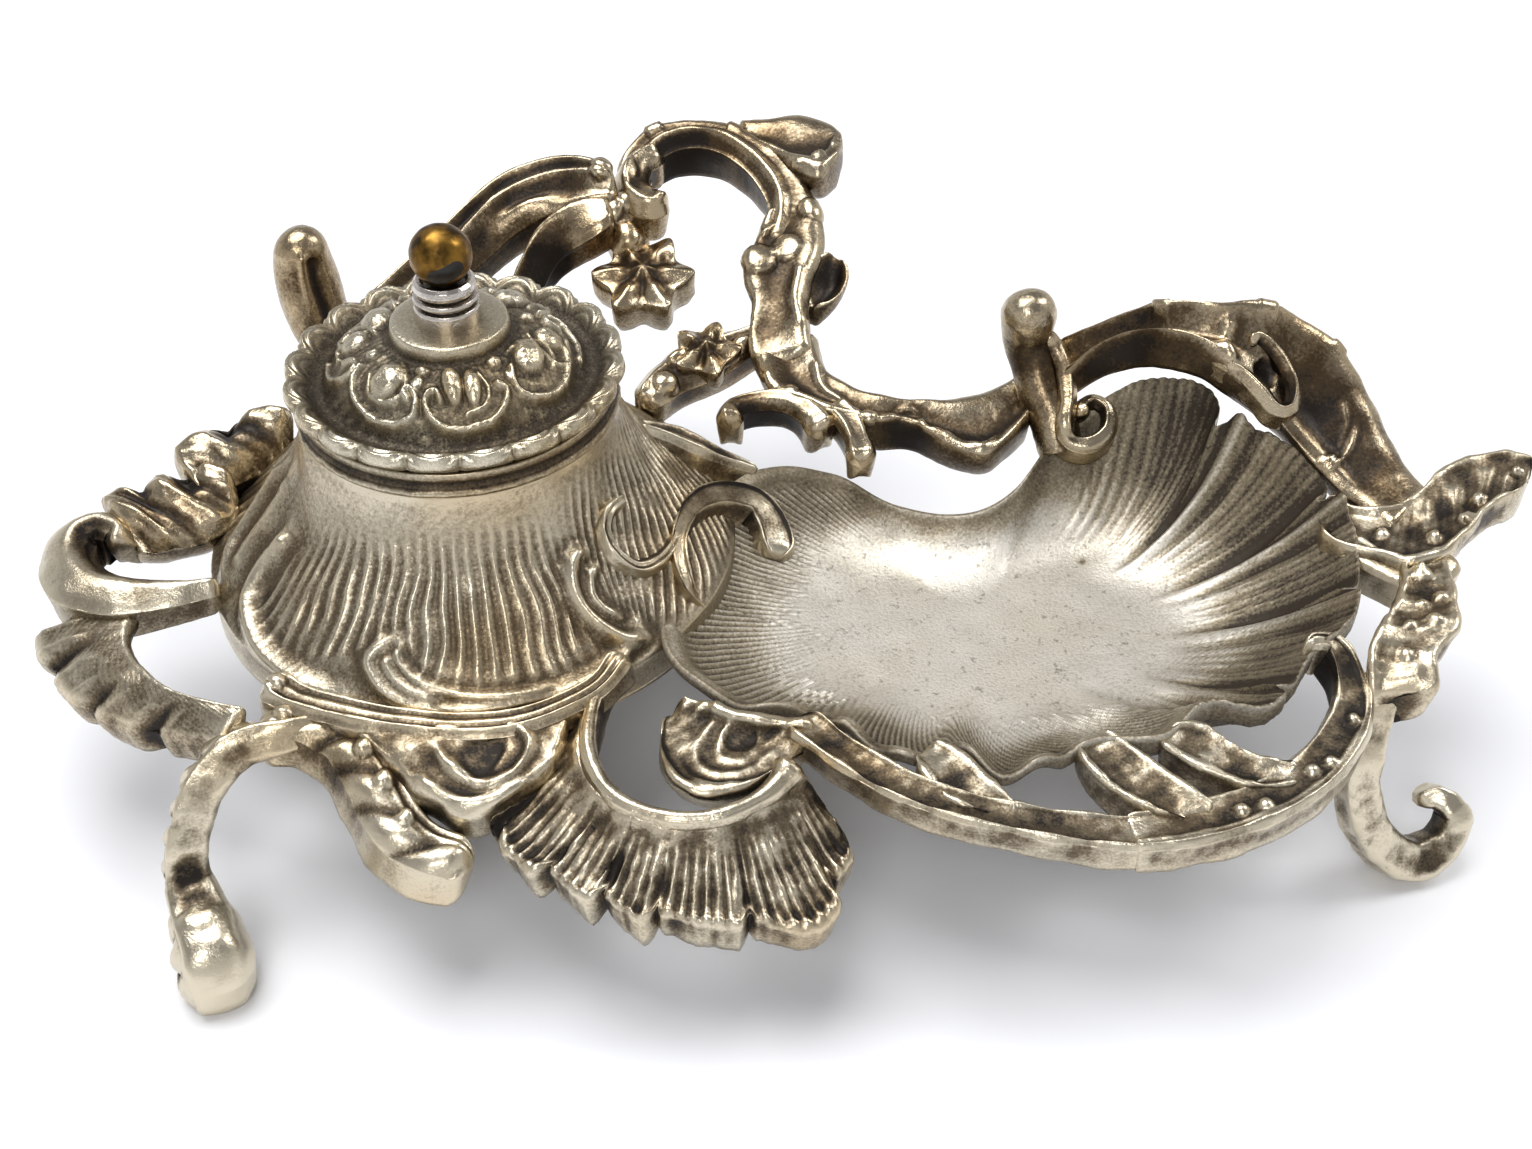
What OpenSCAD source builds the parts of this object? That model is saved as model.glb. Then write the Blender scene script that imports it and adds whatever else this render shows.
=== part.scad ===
// Desk inkstand: a stand of cast openwork scrolls on four legs, with a bell-shaped well,
// a shell-shaped pen tray, a glass ink pot and a lift-off lid with a turned finial.
// The origin is on the table, under the centre of the stand. +X runs from the well to the
// tray and +Y runs from the front to the back.

/* [Well] */
// Place of the well's axis, left of the centre
well_left = 54; // [52:0.5:56]
// Outer radius of the mouth collar
collar_r = 25; // [24.5:0.1:25.5]
// Height of the collar's top above the table
collar_top = 65.5; // [65:0.5:67]
// Wall of the bell casting
bell_wall = 2.2; // [1.8:0.1:2.6]

/* [Ink pot] */
// Outer radius of the glass pot
pot_r = 20.8; // [19:0.1:21]
// Depth of the pot below its flange
pot_depth = 28; // [24:1:30]
// Wall of the glass
pot_wall = 2.2; // [1.8:0.1:2.6]

/* [Lid] */
// Radius of the lid over its scalloped rim
lid_r = 27; // [26.5:0.1:28]
// Number of scallops on the rim
scallops = 26; // [20:1:32]
// Height of the centre boss above the lid's seat
boss_h = 11.5; // [11:0.5:13]
// Diameter of the brass ball
ball_d = 10.4; // [9:0.1:12]

/* [Shell tray] */
// Thickness of the shell
shell_wall = 2.6; // [2.2:0.1:3.2]
// Height of the tray's floor above the table
tray_floor = 25; // [24:0.5:26]
// Share of the way to the rim at which the floor starts to rise
flat_share = 0.5; // [0.4:0.05:0.6]

/* [Legs] */
// Width of the flat under each foot
sole_w = 7; // [5:0.5:8]

/* [Hidden] */

$fn = 96;
silver = [0.66, 0.62, 0.54];
silver_dark = [0.5, 0.46, 0.39];
brass = [0.66, 0.47, 0.18];
nickel = [0.72, 0.71, 0.69];
glass = [0.8, 0.88, 0.86, 0.6];

well = [-well_left, -4, 0];
up = [0, 0, 1];
gallery_up = [0, -0.3, 0.95];   // face of the rear gallery, which leans back
leg_side = [0.12, -0.8, 0.59];   // square to the plane that the front legs bend in

// ---------- curves ----------
// Point at share t between p1 and p2 of a Catmull-Rom curve
function spline_point(p0, p1, p2, p3, t) =
    0.5 * (2 * p1 + (p2 - p0) * t + (2 * p0 - 5 * p1 + 4 * p2 - p3) * t * t
        + (3 * p1 - p0 - 3 * p2 + p3) * t * t * t);

// Curve through the rows of p, with a number of steps between each two
function spline(p, steps) =
    let (n = len(p))
    [
        for (i = [0:n - 2])
            for (k = [0:steps - 1])
                spline_point(i > 0 ? p[i - 1] : 2 * p[0] - p[1], p[i], p[i + 1],
                    i < n - 2 ? p[i + 2] : 2 * p[n - 1] - p[n - 2], k / steps),
        p[n - 1]
    ];

// Closed curve through the rows of p
function loop_spline(p, steps) =
    let (n = len(p))
    [
        for (i = [0:n - 1])
            for (k = [0:steps - 1])
                spline_point(p[(i + n - 1) % n], p[i], p[(i + 1) % n], p[(i + 2) % n], k / steps)
    ];

function unit(v) = v / norm(v);
function place(p) = [p[0], p[1], p[2]];

// Direction of travel at point i
function heading(p, i) =
    unit(place(p[min(i + 1, len(p) - 1)]) - place(p[max(i - 1, 0)]));

// ---------- solids ----------
// Solid through rings that all have the same number of points, flat at both ends
module loft(rings) {
    n = len(rings[0]);
    last = len(rings) - 1;
    polyhedron(
        points = [for (r = rings) for (q = r) q],
        faces = [
            [for (k = [n - 1:-1:0]) k],
            for (i = [0:last - 1])
                for (k = [0:n - 1])
                    let (a = i * n + k, b = i * n + (k + 1) % n)
                    each [[a, b, b + n], [a, b + n, a + n]],
            [for (k = [0:n - 1]) last * n + k]
        ]
    );
}

// Section of a scroll: a crowned face and two walls that draw in a little.
// The columns are shares of the width across and of the depth down.
scroll_section = [[0.4, -1], [0.5, -0.22], [0.3, 0.02], [0, 0.08], [-0.3, 0.02], [-0.5, -0.22], [-0.4, -1]];

// Ring of a scroll's section at a station, whose columns are x, y, z, width and depth
function scroll_ring(station, side, face) =
    [for (q = scroll_section) place(station) + side * q[0] * station[3] + face * q[1] * station[4]];

// Scroll whose face looks along face_up
module scroll(line, face_up = up, steps = 3) {
    p = spline(line, steps);
    loft([
        for (i = [0:len(p) - 1])
            let (along = heading(p, i), side = unit(cross(along, face_up)))
            scroll_ring(p[i], side, cross(side, along))
    ]);
}

// Section of a leg: a bar with eased corners
leg_section = [[0.5, -0.28], [0.5, 0.28], [0.28, 0.5], [-0.28, 0.5], [-0.5, 0.28], [-0.5, -0.28],
    [-0.28, -0.5], [0.28, -0.5]];

// Ring of a leg that runs along a direction, at a station
function leg_ring(station, side, along) =
    let (face = unit(cross(side, along)))
    [for (q = leg_section) place(station) + side * q[0] * station[3] + face * q[1] * station[4]];

// Rings of a leg that bends in one plane, square to side
function leg_rings(line, side, steps = 3) =
    let (p = spline(line, steps))
    [for (i = [0:len(p) - 1]) leg_ring(p[i], side, heading(p, i))];

// Leg that ends in a flat on the table, at the sole's station
module leg(line, side, sole) {
    loft(concat(leg_rings(line, side), [leg_ring(sole, unit([side[0], side[1], 0]), -up)]));
}

// Leaf between an inner and an outer edge, with a crowned face and a cast wall under it
module leaf(inner, outer, wall, crown = 1, steps = 3) {
    a = spline(inner, steps);
    b = spline(outer, steps);
    loft([
        for (i = [0:len(a) - 1])
            let (mid = (a[i] + b[i]) / 2)
            [b[i] - up * wall, b[i], mid + up * crown, a[i], a[i] - up * wall, mid - up * wall * 0.8]
    ]);
}

// Round knob at the end of a scroll
module knob(at, r) {
    translate(at) sphere(r = r, $fn = 24);
}

// ---------- well ----------
bell_profile = [[25, 61.5], [25.6, 58.5], [27, 54.5], [29.8, 49.5], [33.6, 45], [37.6, 41],
    [41.2, 37.6], [43.5, 35]];
bell_foot = 29;

// Outline of the bell on its outside, or its inside when it is drawn in by the wall
function bell_outline(inset) = [for (q = spline(bell_profile, 4)) [q[0] - inset, q[1] - inset * 0.6]];

module bell_solid(inset = 0) {
    o = bell_outline(inset);
    translate(well)
        rotate_extrude()
            polygon([[0, o[0][1]], each o, [43.5 - inset, bell_foot - (inset > 0 ? 1 : 0)],
                [0, bell_foot - (inset > 0 ? 1 : 0)]]);
}

module well_housing() {
    color(silver) difference() {
        bell_solid();
        bell_solid(bell_wall);
        translate(well + [0, 0, 40]) cylinder(r = collar_r - bell_wall, h = 30);
    }
}

// Turned ring round the mouth, with a rebate that the pot's flange hangs in
module mouth_collar() {
    low = 61.5;
    color(silver) translate(well) rotate_extrude()
        polygon([[22, low], [collar_r + 0.4, low], [collar_r + 0.6, low + 0.5], [collar_r + 0.4, low + 1],
            [collar_r, low + 1.2], [collar_r, collar_top], [24, collar_top], [24, collar_top - 1.6],
            [22, collar_top - 1.6]]);
}

// ---------- shell tray ----------
shell_centre = [30, -18];
shell_rim = [
    [85, -33, 42], [89, -16, 43], [86, -1, 46], [74, 10, 48], [70, 18, 50], [57, 19.5, 48],
    [45.5, 15.5, 41], [38, 8.5, 35.5], [30, 5.5, 32.5], [18, 6.5, 33], [6, 11.5, 35.5], [-7, 9, 38],
    [-17, -5, 38], [-21, -22, 37],
    [-20, -36, 36], [-9, -46, 35], [2, -47, 34.5], [15, -56, 34], [22, -53, 34], [30, -59.5, 35],
    [43, -54, 36], [53, -54, 37], [60, -48, 37.5], [70, -49, 38], [77, -40, 40]
];
tray_rings = [0.3, 0.55, 0.72, 0.87, 1];

// Height of the shell at share s of the way to a rim point
function shell_height(s, rim_z) =
    let (t = max(0, (s - flat_share) / (1 - flat_share)))
    tray_floor + (rim_z - tray_floor) * (0.85 * t * t + 0.15 * t);

function shell_point(s, q, drop) =
    [shell_centre[0] + (q[0] - shell_centre[0]) * s, shell_centre[1] + (q[1] - shell_centre[1]) * s,
        shell_height(s, q[2]) - drop];

module shell_solid() {
    rim = loop_spline(shell_rim, 2);
    n = len(rim);
    m = len(tray_rings);
    top = [[shell_centre[0], shell_centre[1], tray_floor],
        for (s = tray_rings) for (q = rim) shell_point(s, q, 0)];
    low = [for (q = top) q - up * shell_wall];
    under = len(top);
    polyhedron(
        points = concat(top, low),
        faces = [
            for (k = [0:n - 1]) let (j = (k + 1) % n) each [
                [0, 1 + j, 1 + k],
                [under, under + 1 + k, under + 1 + j],
                for (i = [0:m - 2])
                    let (a = 1 + i * n + k, b = 1 + i * n + j)
                    each [[a, b, b + n], [a, b + n, a + n],
                        [under + a, under + b + n, under + b], [under + a, under + a + n, under + b + n]],
                let (a = 1 + (m - 1) * n + k, b = 1 + (m - 1) * n + j)
                each [[a, b, under + b], [a, under + b, under + a]]
            ]
        ]
    );
}

module shell_tray() {
    color(silver) difference() {
        shell_solid();
        bell_solid();
    }
}

// ---------- scrolls, by their stations: x, y, z, width and depth ----------
front_moulding_line = [[-81, -41.5, 36.5, 6, 5], [-76, -45, 36.5, 5, 5], [-68, -48.5, 36.5, 4, 5],
    [-60, -50.5, 36.5, 4, 5], [-52, -51.5, 36.5, 4, 5], [-44, -51, 36.5, 4, 5],
    [-37, -48.5, 37, 4, 5], [-31, -44.5, 37.5, 4, 5], [-27, -39, 38.5, 3, 5]];
bead_scroll_line = [[-82, -48, 34.5, 7, 7], [-75, -48.5, 34.5, 7, 7], [-68, -51, 33.5, 8, 8],
    [-63, -57, 31.5, 9, 9], [-59, -63, 29, 9, 9], [-54, -66.5, 27, 8, 8], [-47, -67.5, 26, 6, 7]];
front_c_line = [[-27, -37.5, 38, 3, 5], [-30, -42.5, 37, 4, 7], [-32, -49, 35.5, 4.5, 8],
    [-31, -57, 34.5, 5, 8], [-26, -64, 33.5, 5, 8], [-19, -67, 33, 5, 8], [-12, -67, 33, 5, 8],
    [-5, -64, 34, 5, 8], [-1, -59.5, 36, 5, 8]];
front_rail_line = [[-1, -49, 36, 6, 6], [6, -56, 35.5, 7, 8], [14, -62, 35, 7, 8], [23, -66, 34, 7, 8],
    [33, -68.5, 33, 7, 8], [40, -69.5, 32.5, 7.5, 8.5], [47, -70.5, 32.5, 8, 9]];
rail_end_line = [[46, -70.5, 32.5, 8, 9], [56, -69, 33, 8, 9], [67, -65, 34, 8, 9], [76, -58, 35, 8, 9],
    [82, -49, 37, 7, 9], [83, -42, 39, 5, 8], [81, -38, 41, 4, 7], [77, -38.5, 42, 3, 6]];
left_scroll_line = [[-93, -20, 37, 5, 7], [-100, -22.5, 37.5, 7, 8], [-110, -23, 38, 8, 9],
    [-117, -20.5, 38, 8, 9], [-120.5, -15, 38, 7, 9], [-120.5, -9.5, 39, 6, 8],
    [-116.5, -7, 40, 5, 8], [-112, -9.5, 39.5, 4, 7], [-111.5, -13, 38.5, 3, 6]];
right_bracket_line = [[88, -15, 43, 6, 7], [93, -20, 42, 6, 7], [98, -23, 42.5, 7, 7],
    [104, -19, 43.5, 6, 7]];
tray_curl_line = [[46, 25, 54, 4, 6], [46, 22.5, 51, 4, 6], [45.2, 18.5, 47.5, 4, 6],
    [45.2, 14.8, 44.4, 4, 6], [47.4, 12.2, 42.4, 4, 6], [50.8, 12, 42, 4, 6], [53.8, 14, 43.4, 4, 6],
    [54, 17, 45.6, 4, 6], [51.6, 18.4, 46.8, 3, 5], [49.4, 17, 46, 3, 5]];
bridge_leaf_line = [[-11.5, 14, 45, 4.5, 7], [-11, 18, 45.5, 4, 7], [-7, 19.5, 46, 4, 7],
    [-1.5, 19, 46.5, 5, 7], [2.5, 16, 45.5, 5, 7], [5, 12, 44, 4.5, 7]];
bridge_frond_line = [[6, 19, 46.5, 5, 7], [9, 14.5, 45.5, 5, 7], [10.5, 9.5, 44.5, 4.5, 7],
    [11, 5, 43.5, 5, 7]];
blossom_stem_line = [[-33, 66, 63, 8, 8], [-32, 59.5, 58.5, 8, 8], [-29, 54, 54, 7, 7]];
rosette_stem_line = [[-27, 22, 44, 6, 7], [-22, 28, 45, 6, 7], [-15, 34, 47, 6, 6], [-6, 36, 49, 6, 7],
    [1, 37, 51, 6, 7]];
leaf_ridge_line = [[-28, 13, 46, 5, 6], [-17, 12, 42.5, 5, 6], [-6, 11, 39.5, 5, 5], [4, 9, 37, 4, 4]];
tray_volute_line = [[-13, -33, 37, 3, 5], [-14, -23, 38, 4, 5], [-16.5, -13, 39, 4, 5],
    [-18, -4, 40, 4, 5], [-16, 2, 41.5, 4, 5],
    [-10, 3, 42.5, 4, 5], [-4, -1, 42.5, 4, 5], [-1, -8, 42, 4, 5], [-1, -15, 41, 4, 5],
        [-4.5, -18, 40.5, 4, 5], [-6.5, -15.5, 40.5, 3, 4]];
well_scroll_line = [[-31, -23, 46, 3, 4], [-30, -18, 50, 3, 4], [-25, -14, 49, 4, 4],
    [-20, -15, 45, 4, 4], [-19, -19.5, 42.5, 4, 4],
    [-23, -22, 43, 3, 4]];
front_left_leg_line = [[-77, -50, 31.5, 7, 6], [-84, -51, 31, 7, 6], [-89, -54.5, 27.5, 7, 6],
    [-92, -58.5, 21, 6.5, 6],
    [-93, -61, 14, 7, 6.5], [-91, -65, 10.5, 9, 9],
    [-89, -69.5, 7, 12, 11], [-88.5, -71, 3.5, 10, 8]];
right_leg_line = [[89, -41.5, 38, 6, 6], [87, -44.5, 32, 6, 6], [85.8, -47.5, 25, 6, 6],
    [87.3, -48.5, 16, 6.5, 6.5], [91.5, -49, 8, 7, 7],
    [97.5, -48.5, 3.2, 7, 7], [103, -46.5, 4.5, 6.5, 6], [105, -44, 9, 6, 5], [102, -42.5, 11.5, 5, 4],
        [98.5, -42.5, 10.5, 4, 3]];
arch_fold_line = [[67, 11, 60.5, 4, 6], [71.5, 8.5, 59, 6, 7], [76, 6, 56, 7, 7],
    [80, 3.5, 52.5, 6, 7], [83, 1, 49.5, 4, 6]];
crest_volute_line = [[-25, 74, 66, 5, 8], [-29.5, 70.5, 65, 6, 9], [-30.5, 65.5, 63, 7, 9],
    [-27, 62, 61.5, 7, 8], [-23.5, 63.5, 61.5, 5, 7]];
rear_left_leg_line = [[-80, 29, 36, 7, 7], [-85, 36, 33, 7, 7], [-85, 41, 24, 6, 6],
    [-81, 41, 14, 6, 6], [-78, 40, 6, 9, 9],
    [-78, 40, 2.5, 9, 9]];
rear_right_leg_line = [[58, 11.5, 31.5, 6, 6], [59, 16.5, 31.5, 7, 7], [59, 21, 27, 6, 6],
    [57, 25, 17, 6, 6], [55, 27, 6, 9, 9], [55, 27, 2.5, 9, 9]];
rest_horn_line = [[42, 15, 41, 8, 7], [42.5, 21, 45, 9, 7.5], [41.5, 25, 51, 8.5, 7.5],
    [40, 26, 56, 9.5, 9]];
rear_left_horn_line = [[-81, 31, 39, 8, 7], [-85, 38, 45, 9, 8], [-87.5, 43, 52, 10.5, 9],
    [-89, 45, 58, 10, 9.5]];

// ---------- leaves, by their edges ----------
front_panel_in = [[-79, -45, 35], [-69, -48.5, 35], [-60, -50.5, 35], [-50, -51.5, 35], [-42, -51, 35],
    [-36, -49, 35]];
front_panel_out = [[-77, -47, 34.5], [-67, -50.5, 33.5], [-60.5, -56.5, 31.5], [-55, -62, 29.5],
    [-49.5, -64.5, 28.5],
    [-45, -59, 31]];
fan_in = [[-35, -50, 34.5], [-35.5, -57, 34], [-31, -65, 33], [-24, -69.5, 32], [-16, -70.5, 32],
    [-8, -69, 32], [-1, -64.5, 33], [3, -57, 34]];
fan_out = [[-44, -58, 31], [-47, -67, 27], [-41, -70.5, 25.5], [-33, -74, 24.5], [-22, -78.5, 23],
    [-11, -78.5, 22], [2, -77, 21], [8, -66, 26]];
rocaille_in = [[-17, -43, 35], [-12, -46, 35], [-6, -47, 35], [0, -49, 35]];
rocaille_out = [[-20, -50, 32], [-18, -58, 30.5], [-9, -61, 31], [-2, -56.5, 33.5]];
left_leaf_in = [[-98, -21, 36], [-104, -24, 35], [-105, -31, 34], [-100, -38.5, 34], [-93, -43.5, 34],
    [-83, -46.5, 34]];
left_leaf_out = [[-110, -25, 35], [-122.5, -26, 32], [-118, -35, 30], [-111, -41, 29],
    [-101, -45.5, 29], [-87, -50.5, 31]];
left_rear_leaf_in = [[-92, -6, 39], [-101, -11, 38], [-109, -12, 38]];
left_rear_leaf_out = [[-95, 3, 45], [-107, 0, 45], [-117, -3, 42]];
left_back_leaf_in = [[-87, 8, 42], [-94, 1, 42], [-99, -4, 42]];
left_back_leaf_out = [[-86, 15, 48], [-97, 12, 48], [-106, 4, 46]];

crest_in = [[-6.5, 50.5, 59], [-5, 55, 62], [-5.5, 59, 64.5], [-8.5, 64, 67], [-13, 68.5, 68.5],
    [-18, 72.5, 68], [-23, 73.5, 66.5], [-26.5, 72, 64], [-27, 69, 61.5]];
crest_out = [[4, 50.5, 60], [4, 57.5, 63.5], [1.5, 64, 66.5], [-4.5, 71, 69], [-12.5, 77, 70],
    [-21, 79.5, 69.5], [-28.5, 78, 68], [-33, 73.5, 65], [-34, 67, 61.5]];
tip_in = [[8.5, 64, 70], [4.5, 59, 68.5], [0.5, 61.5, 68.5], [-3.5, 66.5, 68.5], [-9, 72, 69]];
tip_out = [[9.5, 70, 71], [6, 75.5, 71.5], [1.5, 77.5, 71.5], [-5, 77.5, 70.5], [-11.5, 78, 70]];
stem_in = [[4, 58, 64], [5.5, 52, 61.5], [5, 46.5, 59.5], [3, 41, 56.5], [2.5, 35, 53],
    [3.5, 28, 49.5]];
stem_out = [[-5, 57, 62.5], [-7.5, 51, 59.5], [-9.5, 45, 57], [-8, 39, 54], [-8.5, 33.5, 51],
    [-8, 28, 48.5]];
cup_in = [[1, 39, 53], [1, 43.5, 55.5], [3, 46.5, 57.5], [6, 47.5, 58.5]];
cup_out = [[4, 37.5, 53.5], [7.5, 39, 55], [9.5, 42.5, 56.5], [9.5, 46, 58.5]];
bridge_in = [[4, 34, 50.5], [5.5, 26.5, 48], [11, 22, 46.5], [17, 20.5, 45.5], [23, 20.5, 45],
    [28, 21.5, 45], [32, 23, 45], [35.5, 25, 45.5], [38, 28, 46.5]];
bridge_out = [[-8, 31, 49], [-4.5, 21, 47], [4, 16.5, 46], [12, 14, 45], [19, 14.5, 44.5],
    [25.5, 11.5, 43.5], [31, 7.5, 42.5], [35, 12, 43], [39, 18, 44]];
arch_in = [[45.5, 27.5, 53], [51, 24, 58], [58, 22, 62.5], [63.5, 18.5, 66], [69.5, 16.5, 67],
    [77, 18, 66.5], [84.5, 19, 63], [92, 17, 58], [97, 12.5, 52], [100, 5.5, 47.5], [102, 0, 45.5],
    [104, -5, 45]];
arch_out = [[45.5, 19.5, 49], [51, 20, 55], [57, 18, 59.5], [62.5, 14, 62], [67, 11, 62],
    [71.5, 8, 59.5], [77, 6, 55.5], [82, 2.5, 51], [86, -1.5, 47.5], [89.5, -5, 45], [93, -9, 44],
    [96, -14, 43.5]];
left_plate_in = [[-86, 39, 45], [-81, 44.5, 49], [-74, 50, 53.5], [-67, 56.5, 57.5],
    [-61.5, 62, 61], [-56, 66.5, 64], [-50, 68.5, 66], [-44, 69, 67], [-38, 67, 67.5],
    [-33, 64.5, 66.5]];
left_plate_out = [[-82, 33, 42], [-76, 38.5, 45], [-69.5, 45, 47.5], [-63, 52, 50], [-58, 56, 53],
    [-53, 58.5, 56.5], [-48, 60, 59], [-43, 60.5, 61], [-38, 60.5, 62.5], [-33, 61, 62.5]];
branch_in = [[-58, 35, 40], [-56.5, 41.5, 44], [-54.5, 47.5, 48], [-51.5, 53, 53], [-48, 57, 58],
    [-43, 60, 61], [-38.5, 60.5, 62.5], [-34, 60.5, 62.5]];
branch_out = [[-50, 35, 39], [-49.5, 41.5, 42], [-48.5, 47.5, 45.5], [-46.5, 53, 50.5],
    [-43.5, 54.5, 55], [-39.5, 53, 58.5], [-36, 53.5, 60.5], [-33, 56, 61.5]];
right_leaf_in = [[88, -2.5, 43], [91, -7.5, 43.5], [97, -8.5, 44.5], [101.5, -6, 45.5],
    [106, -1.5, 46.5], [111.5, 1, 47.5], [117.5, 2, 48], [122, -0.5, 48]];
right_leaf_out = [[83.5, -13.5, 43], [87, -18, 43], [91, -20, 43.5], [95.5, -23, 44],
    [100.5, -22, 44.5], [106, -18, 46], [110.5, -13, 47], [118, -8, 47.5]];
leg_leaf_in = [[102, -21, 43.5], [102, -26, 44], [101, -32, 44], [100, -37.5, 43.5],
    [95.5, -42, 42], [95, -46.5, 39.5], [89, -46, 36]];
leg_leaf_out = [[95, -21, 43.5], [93.5, -27, 43.5], [91, -32, 43.5], [87.5, -36.5, 43],
    [85.5, -40.5, 41.5], [85, -44.5, 39], [85.5, -46.5, 36]];
strut_left_in = [[21.5, -54.5, 35], [25, -57.5, 35], [28.5, -60.5, 34.5], [33.5, -65, 34]];
strut_left_out = [[20.5, -56.5, 35], [22.5, -60, 34.5], [25.5, -63.5, 34], [29, -67, 33.5]];
strut_mid_in = [[44, -52, 36], [47.5, -53.5, 36], [51.5, -56.5, 35.5], [56, -59.5, 34.5],
    [62, -63, 34]];
strut_mid_out = [[43, -54.5, 36], [45.5, -58.5, 35], [49.5, -62, 34], [54, -64.5, 33.5],
    [59, -67, 33]];
strut_right_in = [[53, -53.5, 37], [57.5, -52.5, 37], [61, -53.5, 37], [64, -56.5, 36],
    [68.5, -57.5, 35], [74, -56, 35.5]];
strut_right_out = [[52, -56, 36.5], [55, -58, 36], [58.5, -60, 35.5], [61.5, -62, 35],
    [65, -62.5, 34.5], [71, -61, 35]];

// ---------- castings round the well ----------
module front_moulding() { color(silver) scroll(front_moulding_line); }
module front_panel() { color(silver_dark) leaf(front_panel_in, front_panel_out, 6, 0.5); }
module bead_scroll() { color(silver) scroll(bead_scroll_line); }
module front_fan_leaf() { color(silver) leaf(fan_in, fan_out, 7, 1); }
module front_c_scroll() { color(silver) scroll(front_c_line); }
module front_rocaille() { color(silver_dark) leaf(rocaille_in, rocaille_out, 6, 1); }
module well_scroll() { color(silver) scroll(well_scroll_line, [0.5, -0.3, 0.8]); }
module leaf_ridge() { color(silver) scroll(leaf_ridge_line); }
module left_leaf() { color(silver) leaf(left_leaf_in, left_leaf_out, 7, 1); }
module left_scroll() { color(silver) scroll(left_scroll_line); }
module left_rear_leaf() { color(silver) leaf(left_rear_leaf_in, left_rear_leaf_out, 7, 1.5); }
module left_back_leaf() { color(silver) leaf(left_back_leaf_in, left_back_leaf_out, 7, 1.5); }

// ---------- castings round the tray ----------
module tray_volute() { color(silver) scroll(tray_volute_line); }
module tray_curl() { color(silver) scroll(tray_curl_line); }
module front_rail() { color(silver) scroll(front_rail_line); }
module rail_end_scroll() { color(silver) scroll(rail_end_line); }
module strut_left() { color(silver_dark) leaf(strut_left_in, strut_left_out, 7, 0.5); }
module strut_mid() { color(silver_dark) leaf(strut_mid_in, strut_mid_out, 7, 0.5); }
module strut_right() { color(silver_dark) leaf(strut_right_in, strut_right_out, 7, 0.5); }
module right_leaf() { color(silver) leaf(right_leaf_in, right_leaf_out, 7, 0.5); }
module right_bracket() { color(silver) scroll(right_bracket_line); }
module right_leg_leaf() { color(silver) leaf(leg_leaf_in, leg_leaf_out, 6, 1); }

// ---------- legs ----------
module front_left_leg() {
    color(silver) leg(front_left_leg_line, unit(leg_side), [-88.5, -71, 0, sole_w, sole_w + 1]);
}

module right_leg() {
    color(silver) difference() {
        loft(leg_rings(right_leg_line, unit(leg_side)));
        translate([80, -60, -10]) cube([40, 30, 10]);
    }
}

module rear_left_leg() {
    color(silver) leg(rear_left_leg_line, unit([0.8, 0.6, 0]), [-78, 40, 0, sole_w, sole_w]);
}

module rear_right_leg() {
    color(silver) leg(rear_right_leg_line, unit([0.8, -0.6, 0]), [55, 27, 0, sole_w, sole_w]);
}

// ---------- rear gallery ----------
module rear_right_scroll() { color(silver) leaf(arch_in, arch_out, 8, 1.5); }
module rear_bridge() { color(silver) leaf(bridge_in, bridge_out, 8, 1); }
module bridge_leaf() { color(silver) scroll(bridge_leaf_line, gallery_up); }
module bridge_frond() { color(silver) scroll(bridge_frond_line, gallery_up); }
module crest_stem() { color(silver) leaf(stem_in, stem_out, 8, 1.5); }
module rear_crest() { color(silver) leaf(crest_in, crest_out, 9, 1); }
module crest_tip() { color(silver) leaf(tip_in, tip_out, 8, 1); }
module stem_cup() { color(silver) leaf(cup_in, cup_out, 6, -0.5); }
module crest_volute() { color(silver) scroll(crest_volute_line, gallery_up); }
module arch_fold() { color(silver) scroll(arch_fold_line, gallery_up); }
module blossom_stem() { color(silver) scroll(blossom_stem_line, gallery_up); }
module rosette_stem() { color(silver) scroll(rosette_stem_line, gallery_up); }
module rear_left_scroll() { color(silver) leaf(left_plate_in, left_plate_out, 8, 1.5); }
module rear_left_inner() { color(silver) leaf(branch_in, branch_out, 8, 1.5); }

module rest_horn() {
    color(silver) union() {
        loft(leg_rings(rest_horn_line, [1, 0, 0]));
        knob([40, 26, 59], 5);
    }
}

module rear_left_horn() {
    color(silver) union() {
        loft(leg_rings(rear_left_horn_line, [1, 0, 0]));
        knob([-89, 45.5, 60.5], 5);
    }
}

// Flower of a boss and a ring of petals, on the leaning face of the gallery
module flower(at, r, petals) {
    translate(at) rotate([18, 0, 0]) union() {
        cylinder(r = r * 0.62, h = 4, center = true, $fn = 32);
        translate([0, 0, 1.5]) sphere(r = r * 0.4, $fn = 24);
        for (i = [0:petals - 1])
            rotate([0, 0, i * 360 / petals]) translate([r * 0.66, 0, 0]) cylinder(r = r * 0.33, h = 5,
                center = true, $fn = 24);
    }
}

module blossom() { color(silver) flower([-28, 50.5, 52], 9, 6); }
module rosette() { color(silver) flower([-16, 32, 47.5], 6.5, 5); }

// ---------- ink pot ----------
pot_seat = collar_top - 1.6;
flange_r = 23.7;
flange_h = 1.3;

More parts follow.
